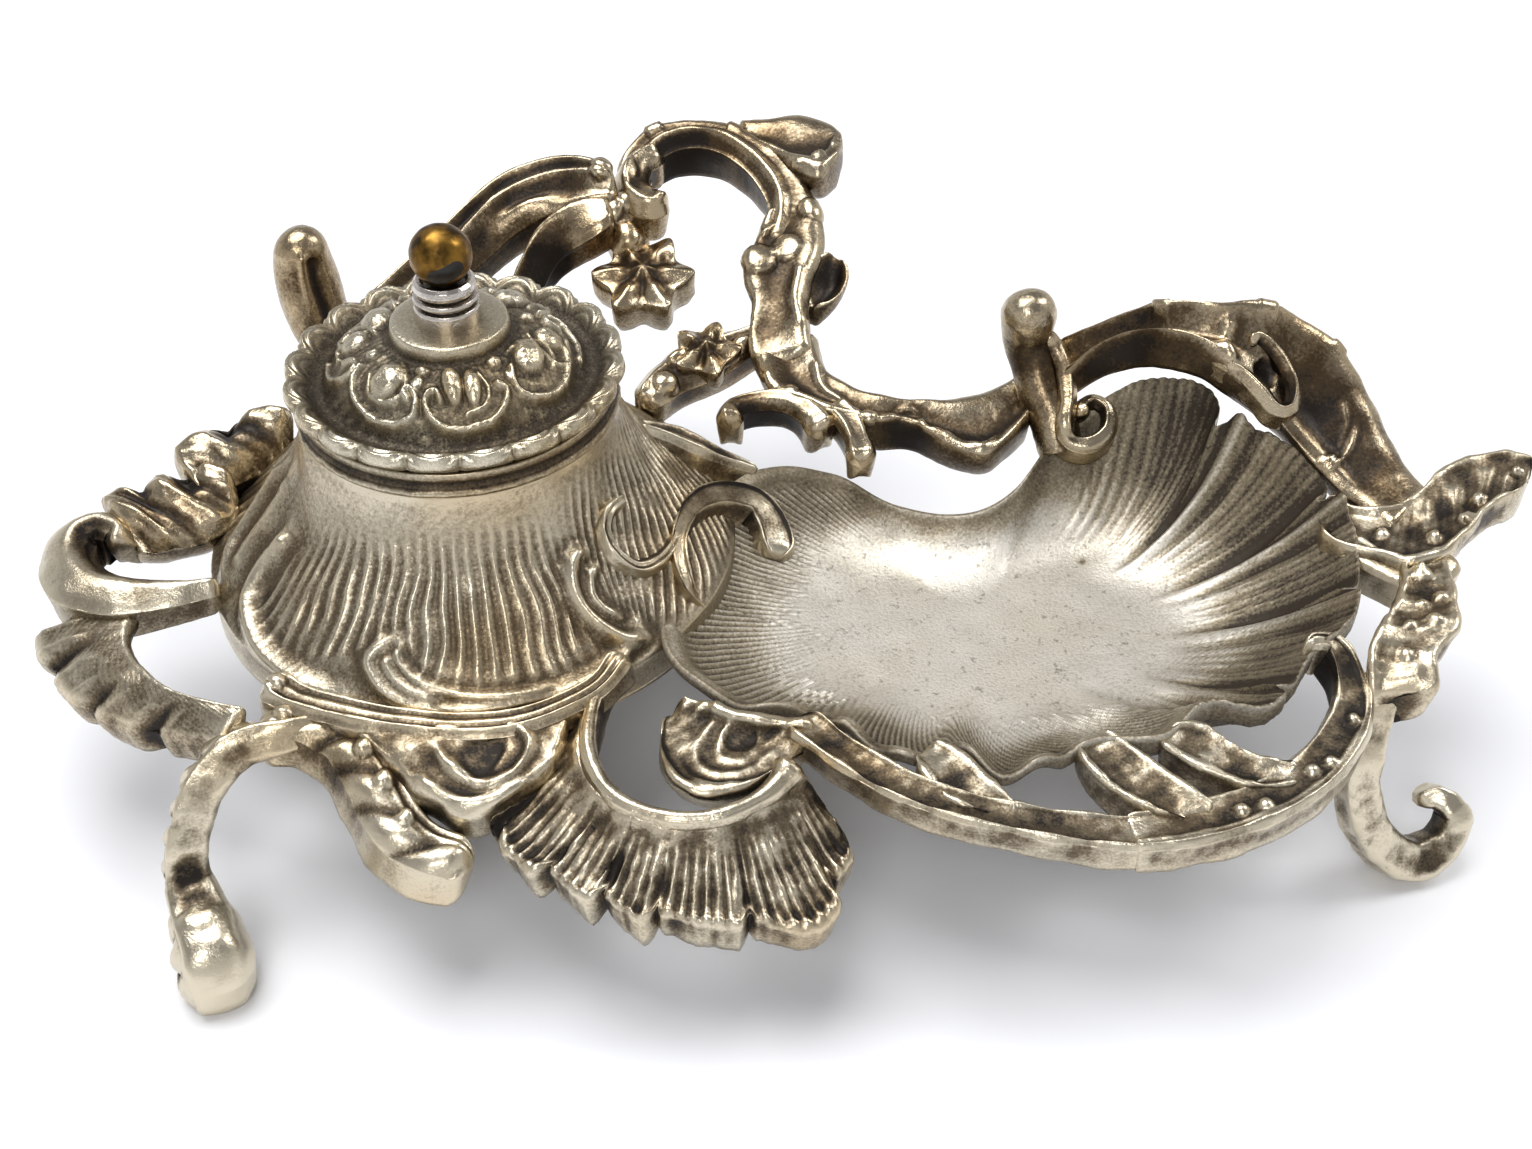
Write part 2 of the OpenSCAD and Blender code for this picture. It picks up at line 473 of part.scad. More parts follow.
module ink_pot() {
    floor_z = pot_seat - pot_depth;
    inner = pot_r - pot_wall;
    color(glass) translate(well) rotate_extrude()
        polygon([[0, floor_z], [pot_r - 2, floor_z], [pot_r, floor_z + 2], [pot_r, pot_seat],
            [flange_r, pot_seat],
            [flange_r, pot_seat + flange_h], [inner, pot_seat + flange_h], [inner, floor_z + pot_wall + 2],
            [inner - 2, floor_z + pot_wall], [0, floor_z + pot_wall]]);
}

// ---------- lid and its finial ----------
lid_seat = collar_top;
stud_r = 1.5;
lid_under = 6.5;

module lid() {
    color(silver) translate(well + [0, 0, lid_seat]) difference() {
        union() {
            rotate_extrude()
                polygon([[0, 0], [25.6, 0], [25.6, 2.4], [24.4, 2.8], [22.2, 2], [19.6, 2.7], [17.6, 5],
                    [14.8, 7], [11.5, 8.4],
                    [9.6, 8.9], [9.2, 9.4], [9.2, boss_h - 0.6], [8.6, boss_h], [0, boss_h]]);
            linear_extrude(height = 2.6) union() {
                circle(r = 24);
                for (i = [0:scallops - 1])
                    rotate([0, 0, i * 360 / scallops]) translate([lid_r - 3.2, 0]) circle(r = 3.2,
                        $fn = 16);
            }
        }
        rotate_extrude()
            polygon([[0, -1], [17, -1], [17, 0], [15.6, 3], [12, 5.2], [8, lid_under], [0, lid_under]]);
        cylinder(r = stud_r + 0.05, h = 30);
    }
}

// Ring under the lid that drops into the pot's mouth
module lid_ring() {
    color(silver) translate(well + [0, 0, lid_seat - 3.5]) difference() {
        cylinder(r = 18.1, h = 3.5);
        translate([0, 0, -1]) cylinder(r = 17, h = 6);
    }
}

ball_z = lid_seat + 22.5;
boss_top = lid_seat + boss_h;

module finial_collar() {
    color(nickel) translate(well + [0, 0, boss_top]) difference() {
        rotate_extrude()
            polygon([[0, 0], [5.1, 0], [5.1, 2.6], [4.8, 3], [4.3, 3.1], [4.3, 3.4], [4.8, 3.6],
                [4.9, 4.1], [4.8, 4.6],
                [4.2, 4.8], [4.2, 5], [4.7, 5.2], [4.8, 5.6], [4.6, 6.1], [3, 6.2], [0, 6.2]]);
        translate([0, 0, -1]) cylinder(r = stud_r + 0.05, h = 9);
    }
}

// Brass ball with a flat where it sits on the collar
module finial_ball() {
    seat = boss_top + 6.2;
    color(brass) difference() {
        translate(well + [0, 0, ball_z]) sphere(d = ball_d);
        translate(well + [-8, -8, seat - 10]) cube([16, 16, 10]);
        translate(well + [0, 0, seat - 1]) cylinder(r = stud_r, h = 4);
    }
}

module finial_screw() {
    color(nickel) translate(well + [0, 0, lid_seat + lid_under - 3]) cylinder(r = stud_r,
        h = boss_top + 9.2 - lid_seat - lid_under + 3);
}

module finial_nut() {
    color(brass) translate(well + [0, 0, lid_seat + lid_under - 2.4]) difference() {
        cylinder(d = 6.4, h = 2.4, $fn = 6);
        translate([0, 0, -1]) cylinder(r = stud_r, h = 5);
    }
}

well_housing();
mouth_collar();
front_moulding();
front_panel();
bead_scroll();
front_left_leg();
front_fan_leaf();
front_c_scroll();
front_rocaille();
front_rail();
rail_end_scroll();
strut_left();
strut_mid();
strut_right();
right_leg();
right_leg_leaf();
right_bracket();
right_leaf();
rear_right_scroll();
rest_horn();
tray_curl();
shell_tray();
tray_volute();
well_scroll();
leaf_ridge();
rear_bridge();
bridge_leaf();
bridge_frond();
crest_stem();
stem_cup();
rear_crest();
crest_volute();
arch_fold();
crest_tip();
blossom_stem();
blossom();
rosette_stem();
rosette();
rear_left_scroll();
rear_left_inner();
rear_left_horn();
left_leaf();
left_scroll();
left_rear_leaf();
left_back_leaf();
rear_left_leg();
rear_right_leg();
ink_pot();
lid();
lid_ring();
finial_collar();
finial_ball();
finial_screw();
finial_nut();
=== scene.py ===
import math

import bpy
import numpy as np
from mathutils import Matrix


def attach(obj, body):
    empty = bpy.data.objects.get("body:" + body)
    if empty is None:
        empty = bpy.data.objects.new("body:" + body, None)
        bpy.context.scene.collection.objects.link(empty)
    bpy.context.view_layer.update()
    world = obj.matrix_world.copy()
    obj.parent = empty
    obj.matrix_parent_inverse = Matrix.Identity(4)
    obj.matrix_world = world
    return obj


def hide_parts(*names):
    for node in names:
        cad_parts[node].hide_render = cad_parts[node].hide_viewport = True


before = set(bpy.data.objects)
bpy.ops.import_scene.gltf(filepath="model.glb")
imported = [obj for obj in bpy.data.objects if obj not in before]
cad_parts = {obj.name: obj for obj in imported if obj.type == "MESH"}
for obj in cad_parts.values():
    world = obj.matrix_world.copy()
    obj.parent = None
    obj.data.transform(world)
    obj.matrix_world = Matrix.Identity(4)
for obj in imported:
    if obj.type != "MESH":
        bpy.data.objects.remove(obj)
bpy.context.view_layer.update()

# ===== Camera, floor and lamps =====
# The inkstand stands on white card, seen from in front and 40 degrees above. Three soft boxes
# hang over it in a white room whose ceiling is dimmer than its walls, which gives the metal
# something dark to mirror.
camera = bpy.data.cameras.new("camera")
camera.sensor_width = 36
camera.lens = 43.26
camera_object = bpy.data.objects.new("camera", camera)
camera_object.location = (-0.0053, -0.2458, 0.2284)
camera_object.rotation_euler = (math.radians(50), 0, 0)
bpy.context.collection.objects.link(camera_object)
bpy.context.scene.camera = camera_object
bpy.context.scene.view_settings.view_transform = "Standard"


def linear(code):
    """Linear colour of a hex code: each channel through the sRGB curve."""
    c = np.array([int(code[i:i + 2], 16) for i in (0, 2, 4)]) / 255
    return (*np.where(c < 0.04045, c / 12.92, ((c + 0.055) / 1.055) ** 2.4), 1)


def add(tree, kind, inputs=(), **settings):
    """A node with its settings, and with a value or a link from another socket in each input."""
    made = tree.nodes.new(kind)
    for key, value in settings.items():
        setattr(made, key, value)
    for key, value in dict(inputs).items():
        if isinstance(value, bpy.types.NodeSocket):
            tree.links.new(value, made.inputs[key])
        else:
            made.inputs[key].default_value = value
    return made


card = bpy.data.materials.new("white_card")
card.use_nodes = True
card_shader = card.node_tree.nodes["Principled BSDF"]
card_shader.inputs["Base Color"].default_value = linear("F9FAFD")
card_shader.inputs["Roughness"].default_value = 0.9
card_shader.inputs["Specular IOR Level"].default_value = 0.0
floor_mesh = bpy.data.meshes.new("floor")
floor_mesh.from_pydata([(-4, -4, 0), (4, -4, 0), (4, 4, 0), (-4, 4, 0)], [], [(0, 1, 2, 3)])
floor_mesh.materials.append(card)
floor = bpy.data.objects.new("floor", floor_mesh)
bpy.context.collection.objects.link(floor)

room = bpy.data.worlds.new("room")
bpy.context.scene.world = room
room.use_nodes = True
room_tree = room.node_tree
height = add(room_tree, "ShaderNodeSeparateXYZ",
             {0: add(room_tree, "ShaderNodeTexCoord").outputs["Generated"]}).outputs["Z"]
ceiling = add(room_tree, "ShaderNodeValToRGB", {0: height})
ceiling.color_ramp.elements[0].position = 0.30
ceiling.color_ramp.elements[0].color = linear("FFFFFF")
ceiling.color_ramp.elements[1].position = 0.62
ceiling.color_ramp.elements[1].color = linear("A2A2A6")
room_tree.links.new(ceiling.outputs[0], room_tree.nodes["Background"].inputs["Color"])
room_tree.nodes["Background"].inputs["Strength"].default_value = 0.72


def soft_box(name, at, size, watts):
    """A square lamp hung at a place and turned to the middle of the inkstand."""
    lamp = bpy.data.lights.new(name, "AREA")
    lamp.size = size
    lamp.energy = watts
    held = bpy.data.objects.new(name, lamp)
    away = np.array(at) - (0, 0, 0.03)
    held.location = at
    held.rotation_euler = (math.atan2(math.hypot(away[0], away[1]), away[2]), 0,
                           math.atan2(away[1], away[0]) + math.pi / 2)
    bpy.context.collection.objects.link(held)


soft_box("key", (-0.20, 0.10, 0.85), 0.60, 6.2)
soft_box("side", (0.55, 0.15, 0.60), 0.30, 1.7)
soft_box("front", (-0.10, -0.66, 0.60), 0.30, 1.6)

# ===== Well housing =====
# The bell that holds the ink pot, cast in brass and silver-plated, now worn. Fine upright flutes
# run down it, swirling on its right flank, and C-scrolls in relief frame them.
WELL = np.array([-54.0, -4.0])


def through(points, steps):
    """Catmull-Rom curve: between each two rows a cubic whose slope at a row is half the chord
    of the rows on either side."""
    p = np.asarray(points, float)
    q = np.vstack([2 * p[0] - p[1], p, 2 * p[-1] - p[-2]])
    t = (np.arange(steps) / steps)[None, :, None]
    a, b, c, d = q[:-3, None], q[1:-2, None], q[2:-1, None], q[3:, None]
    s = 0.5 * (2 * b + (c - a) * t + (2 * a - 5 * b + 4 * c - d) * t ** 2
               + (3 * b - a - 3 * c + d) * t ** 3)
    return np.vstack([s.reshape(-1, p.shape[1]), p[-1:]])


def evenly(curve, gap):
    """The curve with its points a gap apart, read off its running length, and that length."""
    run = np.r_[0, np.cumsum(np.linalg.norm(np.diff(curve[:, :3], axis=0), axis=1))]
    s = np.linspace(0, run[-1], max(6, int(round(run[-1] / gap))))
    return s, np.stack([np.interp(s, run, c) for c in curve.T], 1)


def step(x, low, high):
    """0 below low, 1 above high, and a smooth cubic ramp between them."""
    t = np.clip((x - low) / (high - low), 0, 1)
    return t * t * (3 - 2 * t)


def bump(x, width):
    """Bell curve, 1 at x = 0 and about a third at x = width."""
    return np.exp(-(x / width) ** 2)


def unit(v):
    """Vectors drawn out or in to a length of one."""
    return v / np.maximum(np.linalg.norm(v, axis=-1, keepdims=True), 1e-9)


def lumps(p, size):
    """Uneven field of about -1 to 1: seven sine waves of 6.283 radians to each size, each
    running its own way through the metal."""
    ways = np.array([[1, .3, .2], [-.4, 1, .3], [.2, -.5, 1], [.8, .7, -.5], [-.9, .4, .6],
                     [.5, -.9, -.4], [.3, .8, .9]])
    waves = np.sin(p @ ways.T * (6.283 / size) + np.arange(7) * 1.7)
    return waves.sum(-1) / 3.2


def soften(a, reach, axis, wrap):
    """Moving average over a number of points either way, along one axis of a grid."""
    if reach < 1:
        return a
    n = a.shape[axis]
    reach = min(reach, n // 2 - 1)
    pad = [(0, 0)] * a.ndim
    pad[axis] = (reach + 1, reach)
    total = np.cumsum(np.pad(a, pad, mode="wrap" if wrap else "edge"), axis=axis)
    span = 2 * reach + 1
    return (np.take(total, range(span, span + n), axis) - np.take(total, range(n), axis)) / span


def slope(p, axis, wrap):
    """Difference across each point along one axis of a grid."""
    if wrap:
        return np.roll(p, -1, axis) - np.roll(p, 1, axis)
    return np.gradient(p, axis=axis)


def outward(p, wrap):
    """Unit normals of a grid, pointing out of the solid that it closes: the cross product of
    its two slopes, turned over where the solid's volume comes out negative."""
    across = np.cross(slope(p, 0, wrap[0]), slope(p, 1, wrap[1]))
    middle = p.reshape(-1, 3).mean(0)
    return unit(across) * (1 if ((p - middle) * across).sum() > 0 else -1)


def proud(p, n, reach, wrap):
    """How far each point of a grid stands out along its normal from the mean of its neighbours,
    a moving average taken twice over a number of points each way."""
    mean = p
    for _ in range(2):
        mean = soften(soften(mean, reach[0], 0, wrap[0]), reach[1], 1, wrap[1])
    return ((p - mean) * n).sum(-1)


def piece(name, points, faces, wear_and_shade, finish, body="stand", slot="silvered_casting"):
    """Smooth mesh of points in mm, with its finish and, at each point, a value that holds its
    rubbing and grime and any painted shade. It rides on its body in place of the CAD node of its
    own name."""
    mesh = bpy.data.meshes.new(name)
    mesh.from_pydata((points * 0.001).tolist(), [], faces)
    mesh.polygons.foreach_set("use_smooth", np.ones(len(mesh.polygons), bool))
    mesh.attributes.new("wear_and_shade", "FLOAT", "POINT").data.foreach_set("value", wear_and_shade)
    mesh.materials.append(finish)
    made = bpy.data.objects.new(name, mesh)
    bpy.context.collection.objects.link(made)
    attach(made, body)
    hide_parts(name)
    return made


# Wear is 0 in a recess and 1 on a rubbed edge. Each row is how far off a point's neighbours lie
# in mm, how much standing proud of them adds, and the height in mm that nearly gives it all.
PLAIN_WEAR = 0.45
WEAR_REACHES = ((0.7, 0.22, 0.11), (2.6, 0.30, 0.60), (6.0, 0.16, 1.6))


def skin(name, p, finish, wrap=(False, True), tone=0.0, depth=1.1, **where):
    """Closed surface over a grid of points in mm. A grid that doesn't wrap lengthways is closed
    by a pole in the middle of each end row. The value at each point is PLAIN_WEAR plus the tone,
    which carries any painted shade, and for each reach a hyperbolic tangent of how proud the point
    stands, times the depth."""
    rows, cols = p.shape[:2]
    n = outward(p, wrap)
    gap_u = np.linalg.norm(slope(p, 0, wrap[0]), axis=-1).mean() / 2 + 1e-6
    gap_v = np.linalg.norm(slope(p, 1, wrap[1]), axis=-1).mean() / 2 + 1e-6
    wear_and_shade = np.full(p.shape[:2], PLAIN_WEAR) + tone
    for reach, gain, full in WEAR_REACHES:
        steps = int(round(reach / gap_u)), int(round(reach / gap_v))
        wear_and_shade = wear_and_shade + depth * gain * np.tanh(proud(p, n, steps, wrap) / full)
    i = np.arange(rows if wrap[0] else rows - 1)[:, None]
    j = np.arange(cols)[None]
    a, b = i * cols + j, i * cols + (j + 1) % cols
    c, d = (i + 1) % rows * cols + (j + 1) % cols, (i + 1) % rows * cols + j
    quads = np.stack([a, b, c, d], -1).reshape(-1, 4)
    points = p.reshape(-1, 3)
    values = wear_and_shade.ravel()
    ends = np.zeros((0, 3), int)
    if not wrap[0]:
        j = np.arange(cols)
        first, last = rows * cols, rows * cols + 1
        points = np.vstack([points, p[0].mean(0), p[-1].mean(0)])
        values = np.r_[values, wear_and_shade[0].mean(), wear_and_shade[-1].mean()]
        ends = np.vstack([np.stack([j * 0 + first, (j + 1) % cols, j], 1),
                          np.stack([j * 0 + last, (rows - 1) * cols + j,
                                    (rows - 1) * cols + (j + 1) % cols], 1)])
    # a negative volume means that the faces point inwards, so they are turned over
    all_tris = np.vstack([quads[:, :3], quads[:, [0, 2, 3]], ends])
    q = points[all_tris]
    if np.einsum("ij,ij->i", q[:, 0], np.cross(q[:, 1], q[:, 2])).sum() < 0:
        quads, ends = quads[:, ::-1], ends[:, ::-1]
    return piece(name, points, quads.tolist() + ends.tolist(), values, finish, **where)


# How coarse the warm patches and the dark specks are, and how deep the grit looks.
BROAD_MM = 24
SPECK_MM = 1.43
GRIT_DEEP_M = 0.00012


def worn_casting(name, bright, middle, dark, warm, rough, grit_mm=0.45, blotch_mm=7.0,
                 metal=(0.55, 1.0), clouds=(0.55, 0.55), specks=0.0):
    """Cast metal under worn plating: the point attribute of rubbing, grime and painted shade,
    broken up by grit and by blotches, runs from dark grime and painted shade through the dull
    metal to the rubbed plate, and sets the gloss with it. Clouds are how strongly blotches break
    it up and broad patches warm it, and specks are small dark spots where a fine noise runs high."""
    made = bpy.data.materials.new(name)
    made.use_nodes = True
    t = made.node_tree
    shader = t.nodes["Principled BSDF"]
    place = add(t, "ShaderNodeTexCoord").outputs["Object"]
    wear_and_shade = add(t, "ShaderNodeAttribute", attribute_name="wear_and_shade").outputs["Fac"]
    grit = add(t, "ShaderNodeTexNoise", {"Vector": place, "Scale": 1000 / grit_mm, "Detail": 2.0,
                                         "Roughness": 0.6}).outputs["Fac"]
    blotch = add(t, "ShaderNodeTexNoise", {"Vector": place, "Scale": 1000 / blotch_mm,
                                           "Detail": 8.0, "Roughness": 0.72}).outputs["Fac"]
    broad = add(t, "ShaderNodeTexNoise", {"Vector": place, "Scale": 1000 / BROAD_MM,
                                          "Detail": 2.0}).outputs["Fac"]
    uneven = add(t, "ShaderNodeMath", {0: grit, 1: 0.70, 2: wear_and_shade}, operation="MULTIPLY_ADD")
    uneven = add(t, "ShaderNodeMath", {0: blotch, 1: clouds[0], 2: uneven.outputs[0]},
                 operation="MULTIPLY_ADD")
    level = add(t, "ShaderNodeMath", {0: uneven.outputs[0], 1: 0.35 + clouds[0] / 2},
                operation="SUBTRACT").outputs[0]
    ramp = add(t, "ShaderNodeValToRGB", {0: level})
    stops = ramp.color_ramp.elements
    stops[0].position, stops[0].color = 0.02, linear(dark)
    stops[1].position, stops[1].color = 0.95, linear(bright)
    stops.new(0.42).color = linear(middle)
    tint = add(t, "ShaderNodeMapRange", {0: broad, 1: 0.45, 2: 0.68, 3: 0.0, 4: clouds[1]})
    mixed = add(t, "ShaderNodeMix", {0: tint.outputs[0], 6: ramp.outputs[0], 7: linear(warm)},
                data_type="RGBA", blend_type="MULTIPLY")
    colour = mixed.outputs[2]
    if specks:
        spots = add(t, "ShaderNodeTexNoise", {"Vector": place, "Scale": 1000 / SPECK_MM,
                                              "Detail": 3.0, "Roughness": 0.7}).outputs["Fac"]
        spotted = add(t, "ShaderNodeMapRange", {0: spots, 1: 0.60, 2: 0.68, 3: 0.0, 4: specks})
        colour = add(t, "ShaderNodeMix", {0: spotted.outputs[0], 6: colour, 7: linear(dark)},
                     data_type="RGBA").outputs[2]
    t.links.new(colour, shader.inputs["Base Color"])
    gloss = add(t, "ShaderNodeMapRange", {0: level, 1: 0.1, 2: 0.9, 3: rough[0], 4: rough[1]})
    t.links.new(gloss.outputs[0], shader.inputs["Roughness"])
    bare = add(t, "ShaderNodeMapRange", {0: level, 1: 0.0, 2: 0.45, 3: metal[0], 4: metal[1]})
    t.links.new(bare.outputs[0], shader.inputs["Metallic"])
    relief = add(t, "ShaderNodeBump", {"Height": grit, "Strength": 0.55,
                                      "Distance": GRIT_DEEP_M})
    t.links.new(relief.outputs[0], shader.inputs["Normal"])
    return made


# Silver-plated cast brass: rubbed plate is a warm pale grey, the hollows hold brown-black grime,
# and the sand-cast skin is finely gritty. Real grit is about half as coarse as the 0.45 mm drawn
# here, which is what it takes to show.
casting = worn_casting("worn_silver_plated_brass", "D2C8B2", "6E6250", "1E1710", "EAD7B8",
                       (0.54, 0.29))

# How far apart in mm the points of a casting's surface lie.
GRID_MM = 0.42
# The bell's outline as radius and height, its wall, the radius and height of its foot, and how
# many flutes there are.
bell_profile = [(25, 61.5), (25.6, 58.5), (27, 54.5), (29.8, 49.5), (33.6, 45), (37.6, 41),
                (41.2, 37.6), (43.5, 35)]
BELL_WALL = 2.2
FOOT_RADIUS, FOOT_Z = 43.5, 29
FLUTES = 92
# By the angle in degrees round the bell (-90 is the front): the height at which the flutes fade
# out below the mouth, and the height down to which they run.
flute_tops = [[-180, -150, -141, -130, -110, -87, -64, -53, -40, -10, 180],
              [50, 47, 47, 53, 55, 57, 57, 54, 59, 58, 56]]
flute_feet = [[-180, -150, -125, -106, -100, -92, -76, -60, -50, -10, 180],
              [36, 36, 37.5, 40.5, 38.6, 37.6, 37, 37, 36, 36, 36]]
# Scrolls in relief: the angle and height of their points, then half their width and their height.
bell_scrolls = [
    ([(-100.5, 42.2), (-104, 41.6), (-106.5, 40.2), (-105, 38.6), (-100, 36.6), (-93, 35.6),
      (-84, 35.3), (-72, 35.3), (-60, 35.7), (-50, 36.8), (-44, 38.6)], 1.2, 1.4),
    ([(-101.5, 41.6), (-99.5, 39.9), (-95, 38.3), (-88, 37.1), (-79, 36.4), (-68, 36)], 0.8, 0.9),
    ([(-103.5, 40.4), (-101.5, 39), (-97.5, 37.5), (-91, 36.3)], 1.0, 0.8),
    ([(-47.5, 48.8), (-50, 49), (-53, 47.8), (-54.8, 45.4), (-54, 42.5), (-51.5, 39.9),
      (-48, 38), (-44, 37.2)], 1.1, 1.5),
    ([(-46, 46.5), (-48.5, 46), (-50.5, 44), (-49.5, 42), (-47, 40.5)], 0.7, 0.8),
    ([(-147, 48.4), (-147.5, 46), (-148.5, 43.2), (-147, 40.2), (-142.5, 38), (-134, 36.2),
      (-124, 35.4), (-112, 35)], 1.7, 1.5),
    ([(-178, 50), (-174, 46), (-170, 42.5), (-166, 39.5), (-158, 37)], 1.6, 1.2),
    ([(-164, 52), (-162, 47), (-161, 43), (-158, 39)], 1.8, 0.8)]


def on_bell(rows):
    """Points on the bell from rows of angle in degrees and height."""
    rows = through(rows, 8)
    outline = through(bell_profile, 8)[::-1]
    r = np.interp(rows[:, 1], outline[:, 1], outline[:, 0])
    turn = np.radians(rows[:, 0])
    return np.stack([WELL[0] + r * np.cos(turn), WELL[1] + r * np.sin(turn), rows[:, 1]], 1)


def near(p, line):
    """Distance from each point to a line of points: the least, over its pieces, of the distance
    to the nearest place on the piece, and how far along the line that place is, 0 to 1."""
    best = np.full(p.shape[:-1], 1e9)
    where = np.zeros(p.shape[:-1])
    for i in range(len(line) - 1):
        a, ab = line[i], line[i + 1] - line[i]
        t = np.clip(((p - a) @ ab) / max(ab @ ab, 1e-9), 0, 1)
        d = np.linalg.norm(p - a - t[..., None] * ab, axis=-1)
        where = np.where(d < best, (i + t) / (len(line) - 1), where)
        best = np.minimum(d, best)
    return best, where


def bell():
    """Grid of height by angle. The outline is turned round the axis; on its outside the flutes
    are a cosine of the angle that fades at the mouth and the foot, and each scroll is a rounded
    rib whose height falls off with the distance from its line."""
    _, out = evenly(through(bell_profile, 10), GRID_MM)
    skirt = np.array([(FOOT_RADIUS, z) for z in np.arange(34.6, FOOT_Z, -0.8)])
    under = [(FOOT_RADIUS, FOOT_Z), (FOOT_RADIUS - BELL_WALL, FOOT_Z)]
    inner = through(bell_profile, 2)[::-1] - (BELL_WALL, 1.3)
    outline = np.vstack([out, skirt, under, inner, [(bell_profile[0][0] - BELL_WALL, 61.5)]])
    # the columns lie closer together in front than behind
    turn = np.linspace(-math.pi, math.pi, 860, endpoint=False)
    turn = turn - 0.38 * np.sin(turn + math.radians(100)) - math.radians(100)
    r, z = outline[:, :1], outline[:, 1:]
    p = np.stack([WELL[0] + r * np.cos(turn), WELL[1] + r * np.sin(turn),
                  z + 0 * turn[None]], -1)
    angle = (np.degrees(turn)[None] + 180) % 360 - 180 + 0 * z
    top, foot = np.interp(angle, *flute_tops), np.interp(angle, *flute_feet)
    swirl = step(angle, -58, -38) * (1 - step(angle, 60, 90))
    lean = swirl * 0.9 * (58 - z) * (1 + 0.03 * (58 - z))
    flutes = np.cos(np.radians(angle + lean) * FLUTES + 0.4 * np.sin(np.radians(angle) * 11)
                    + 1.1 * lumps(p, 13))
    shown = step(z, foot - 0.8, foot + 1.5) * (1 - step(z, top - 5.5, top + 1.5))
    plain = step(angle, -179, -172) * (1 - step(angle, -150, -145))
    h = (0.46 * (0.5 + 0.5 * flutes) ** 1.8 - 0.22) * shown * (1 - plain)
    h = h * (0.85 + 0.5 * lumps(p, 8))
    for rows, width, tall in bell_scrolls:
        d, along = near(p, on_bell(rows))
        ends = np.clip(np.minimum(along, 1 - along) * 8 + 0.25, 0, 1)
        h = (h * (1 - bump(d, width * 1.5)) + tall * ends * bump(d, width)
             - 0.25 * bump(d - 2 * width, width))
    is_out = (np.arange(len(outline)) < len(out))[:, None]
    h = np.where(is_out, h + 0.10 * lumps(p, 9) + 0.035 * lumps(p, 1.4), 0)
    h = h * step(np.arange(len(outline)), 0, 4)[:, None]
    rise = slope(outline, 0, True)
    out_of = -unit(np.stack([rise[:, 1], -rise[:, 0]], 1))
    p[..., 0] += h * out_of[:, :1] * np.cos(turn)
    p[..., 1] += h * out_of[:, :1] * np.sin(turn)
    p[..., 2] += h * out_of[:, 1:]
    # brighter towards the mouth, and darker on the right flank
    tone = (0.10 + 0.08 * step(z, 40, 50) + 0.16 * step(z, 50, 56)
            - 0.10 * step(angle, -60, -30) * (1 - step(angle, 60, 90)))
    return p, tone


bell_points, bell_tone = bell()
skin("well_housing", bell_points, casting, wrap=(True, True), tone=bell_tone, depth=0.75)

# ===== Mouth collar and ink pot =====
# A turned nickel-bright ring lines the mouth, with a burred bead where it was soldered to the
# bell. The loose pot hangs in its rebate; it is moulded clear glass with a flange.


def turned(name, outline, finish, slot, columns=160, relief=None, body="stand", gap=0.3,
           wrap=True, tone=0.0):
    """An outline of radius and height, turned round the well's axis, and moved out along its
    radius by a relief of angle, radius and height."""
    ring = np.vstack([outline, outline[:1]]) if wrap else np.asarray(outline, float)
    _, ring = evenly(np.c_[ring, np.zeros(len(ring))], gap)
    ring = ring[:-1, :2] if wrap else ring[:, :2]
    turn = np.linspace(0, 2 * math.pi, columns, endpoint=False)[None]
    r, z = ring[:, :1], ring[:, 1:] + 0 * turn
    if relief is not None:
        r = r + relief(turn, r + 0 * turn, z)
    p = np.stack([WELL[0] + r * np.cos(turn), WELL[1] + r * np.sin(turn), z], -1)
    return skin(name, p, finish, wrap=(wrap, True), body=body, slot=slot, tone=tone)


def collar_burr(turn, r, z):
    """Uneven solder bead: waves round the lower edge, and a shallow groove over it."""
    outside = r > 24
    wave = np.sin(turn * 23) * np.sin(turn * 9 + 1) + 0.5 * np.sin(turn * 61)
    return (bump(z - 62.1, 0.5) * outside * (0.16 * wave - 0.1)
            - 0.30 * bump(z - 63.6, 0.5) * outside)


# the collar is darkened, partly as grime in its groove and partly as painted shade under the lid's
# edge
turned("mouth_collar", [(22, 61.5), (25.4, 61.5), (25.6, 62), (25.4, 62.5), (25, 62.7), (25, 65.3),
                        (24.8, 65.5), (24, 65.5), (24, 63.9), (22, 63.9)],
       casting, "nickel_collar", columns=320, relief=collar_burr, tone=-0.34)

# Clear pressed glass: smooth, faintly green, and clear enough to see the ink level.
glass = bpy.data.materials.new("pressed_glass")
glass.use_nodes = True
glass_shader = glass.node_tree.nodes["Principled BSDF"]
glass_shader.inputs["Base Color"].default_value = linear("E4EFEA")
glass_shader.inputs["Transmission Weight"].default_value = 1.0
glass_shader.inputs["IOR"].default_value = 1.5
glass_place = add(glass.node_tree, "ShaderNodeTexCoord").outputs["Object"]
glass_wave = add(glass.node_tree, "ShaderNodeTexNoise", {"Vector": glass_place, "Scale": 160.0})
glass_haze = add(glass.node_tree, "ShaderNodeMapRange", {0: glass_wave.outputs["Fac"], 1: 0.3,
                                                        2: 0.7, 3: 0.04, 4: 0.16})
glass.node_tree.links.new(glass_haze.outputs[0], glass_shader.inputs["Roughness"])


def finish_node(name, finish):
    """Puts a finish on every slot of a CAD node that stays in view."""
    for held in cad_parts[name].material_slots:
        held.link = "OBJECT"
        held.material = finish
    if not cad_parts[name].material_slots:
        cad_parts[name].data.materials.append(finish)


finish_node("ink_pot", glass)

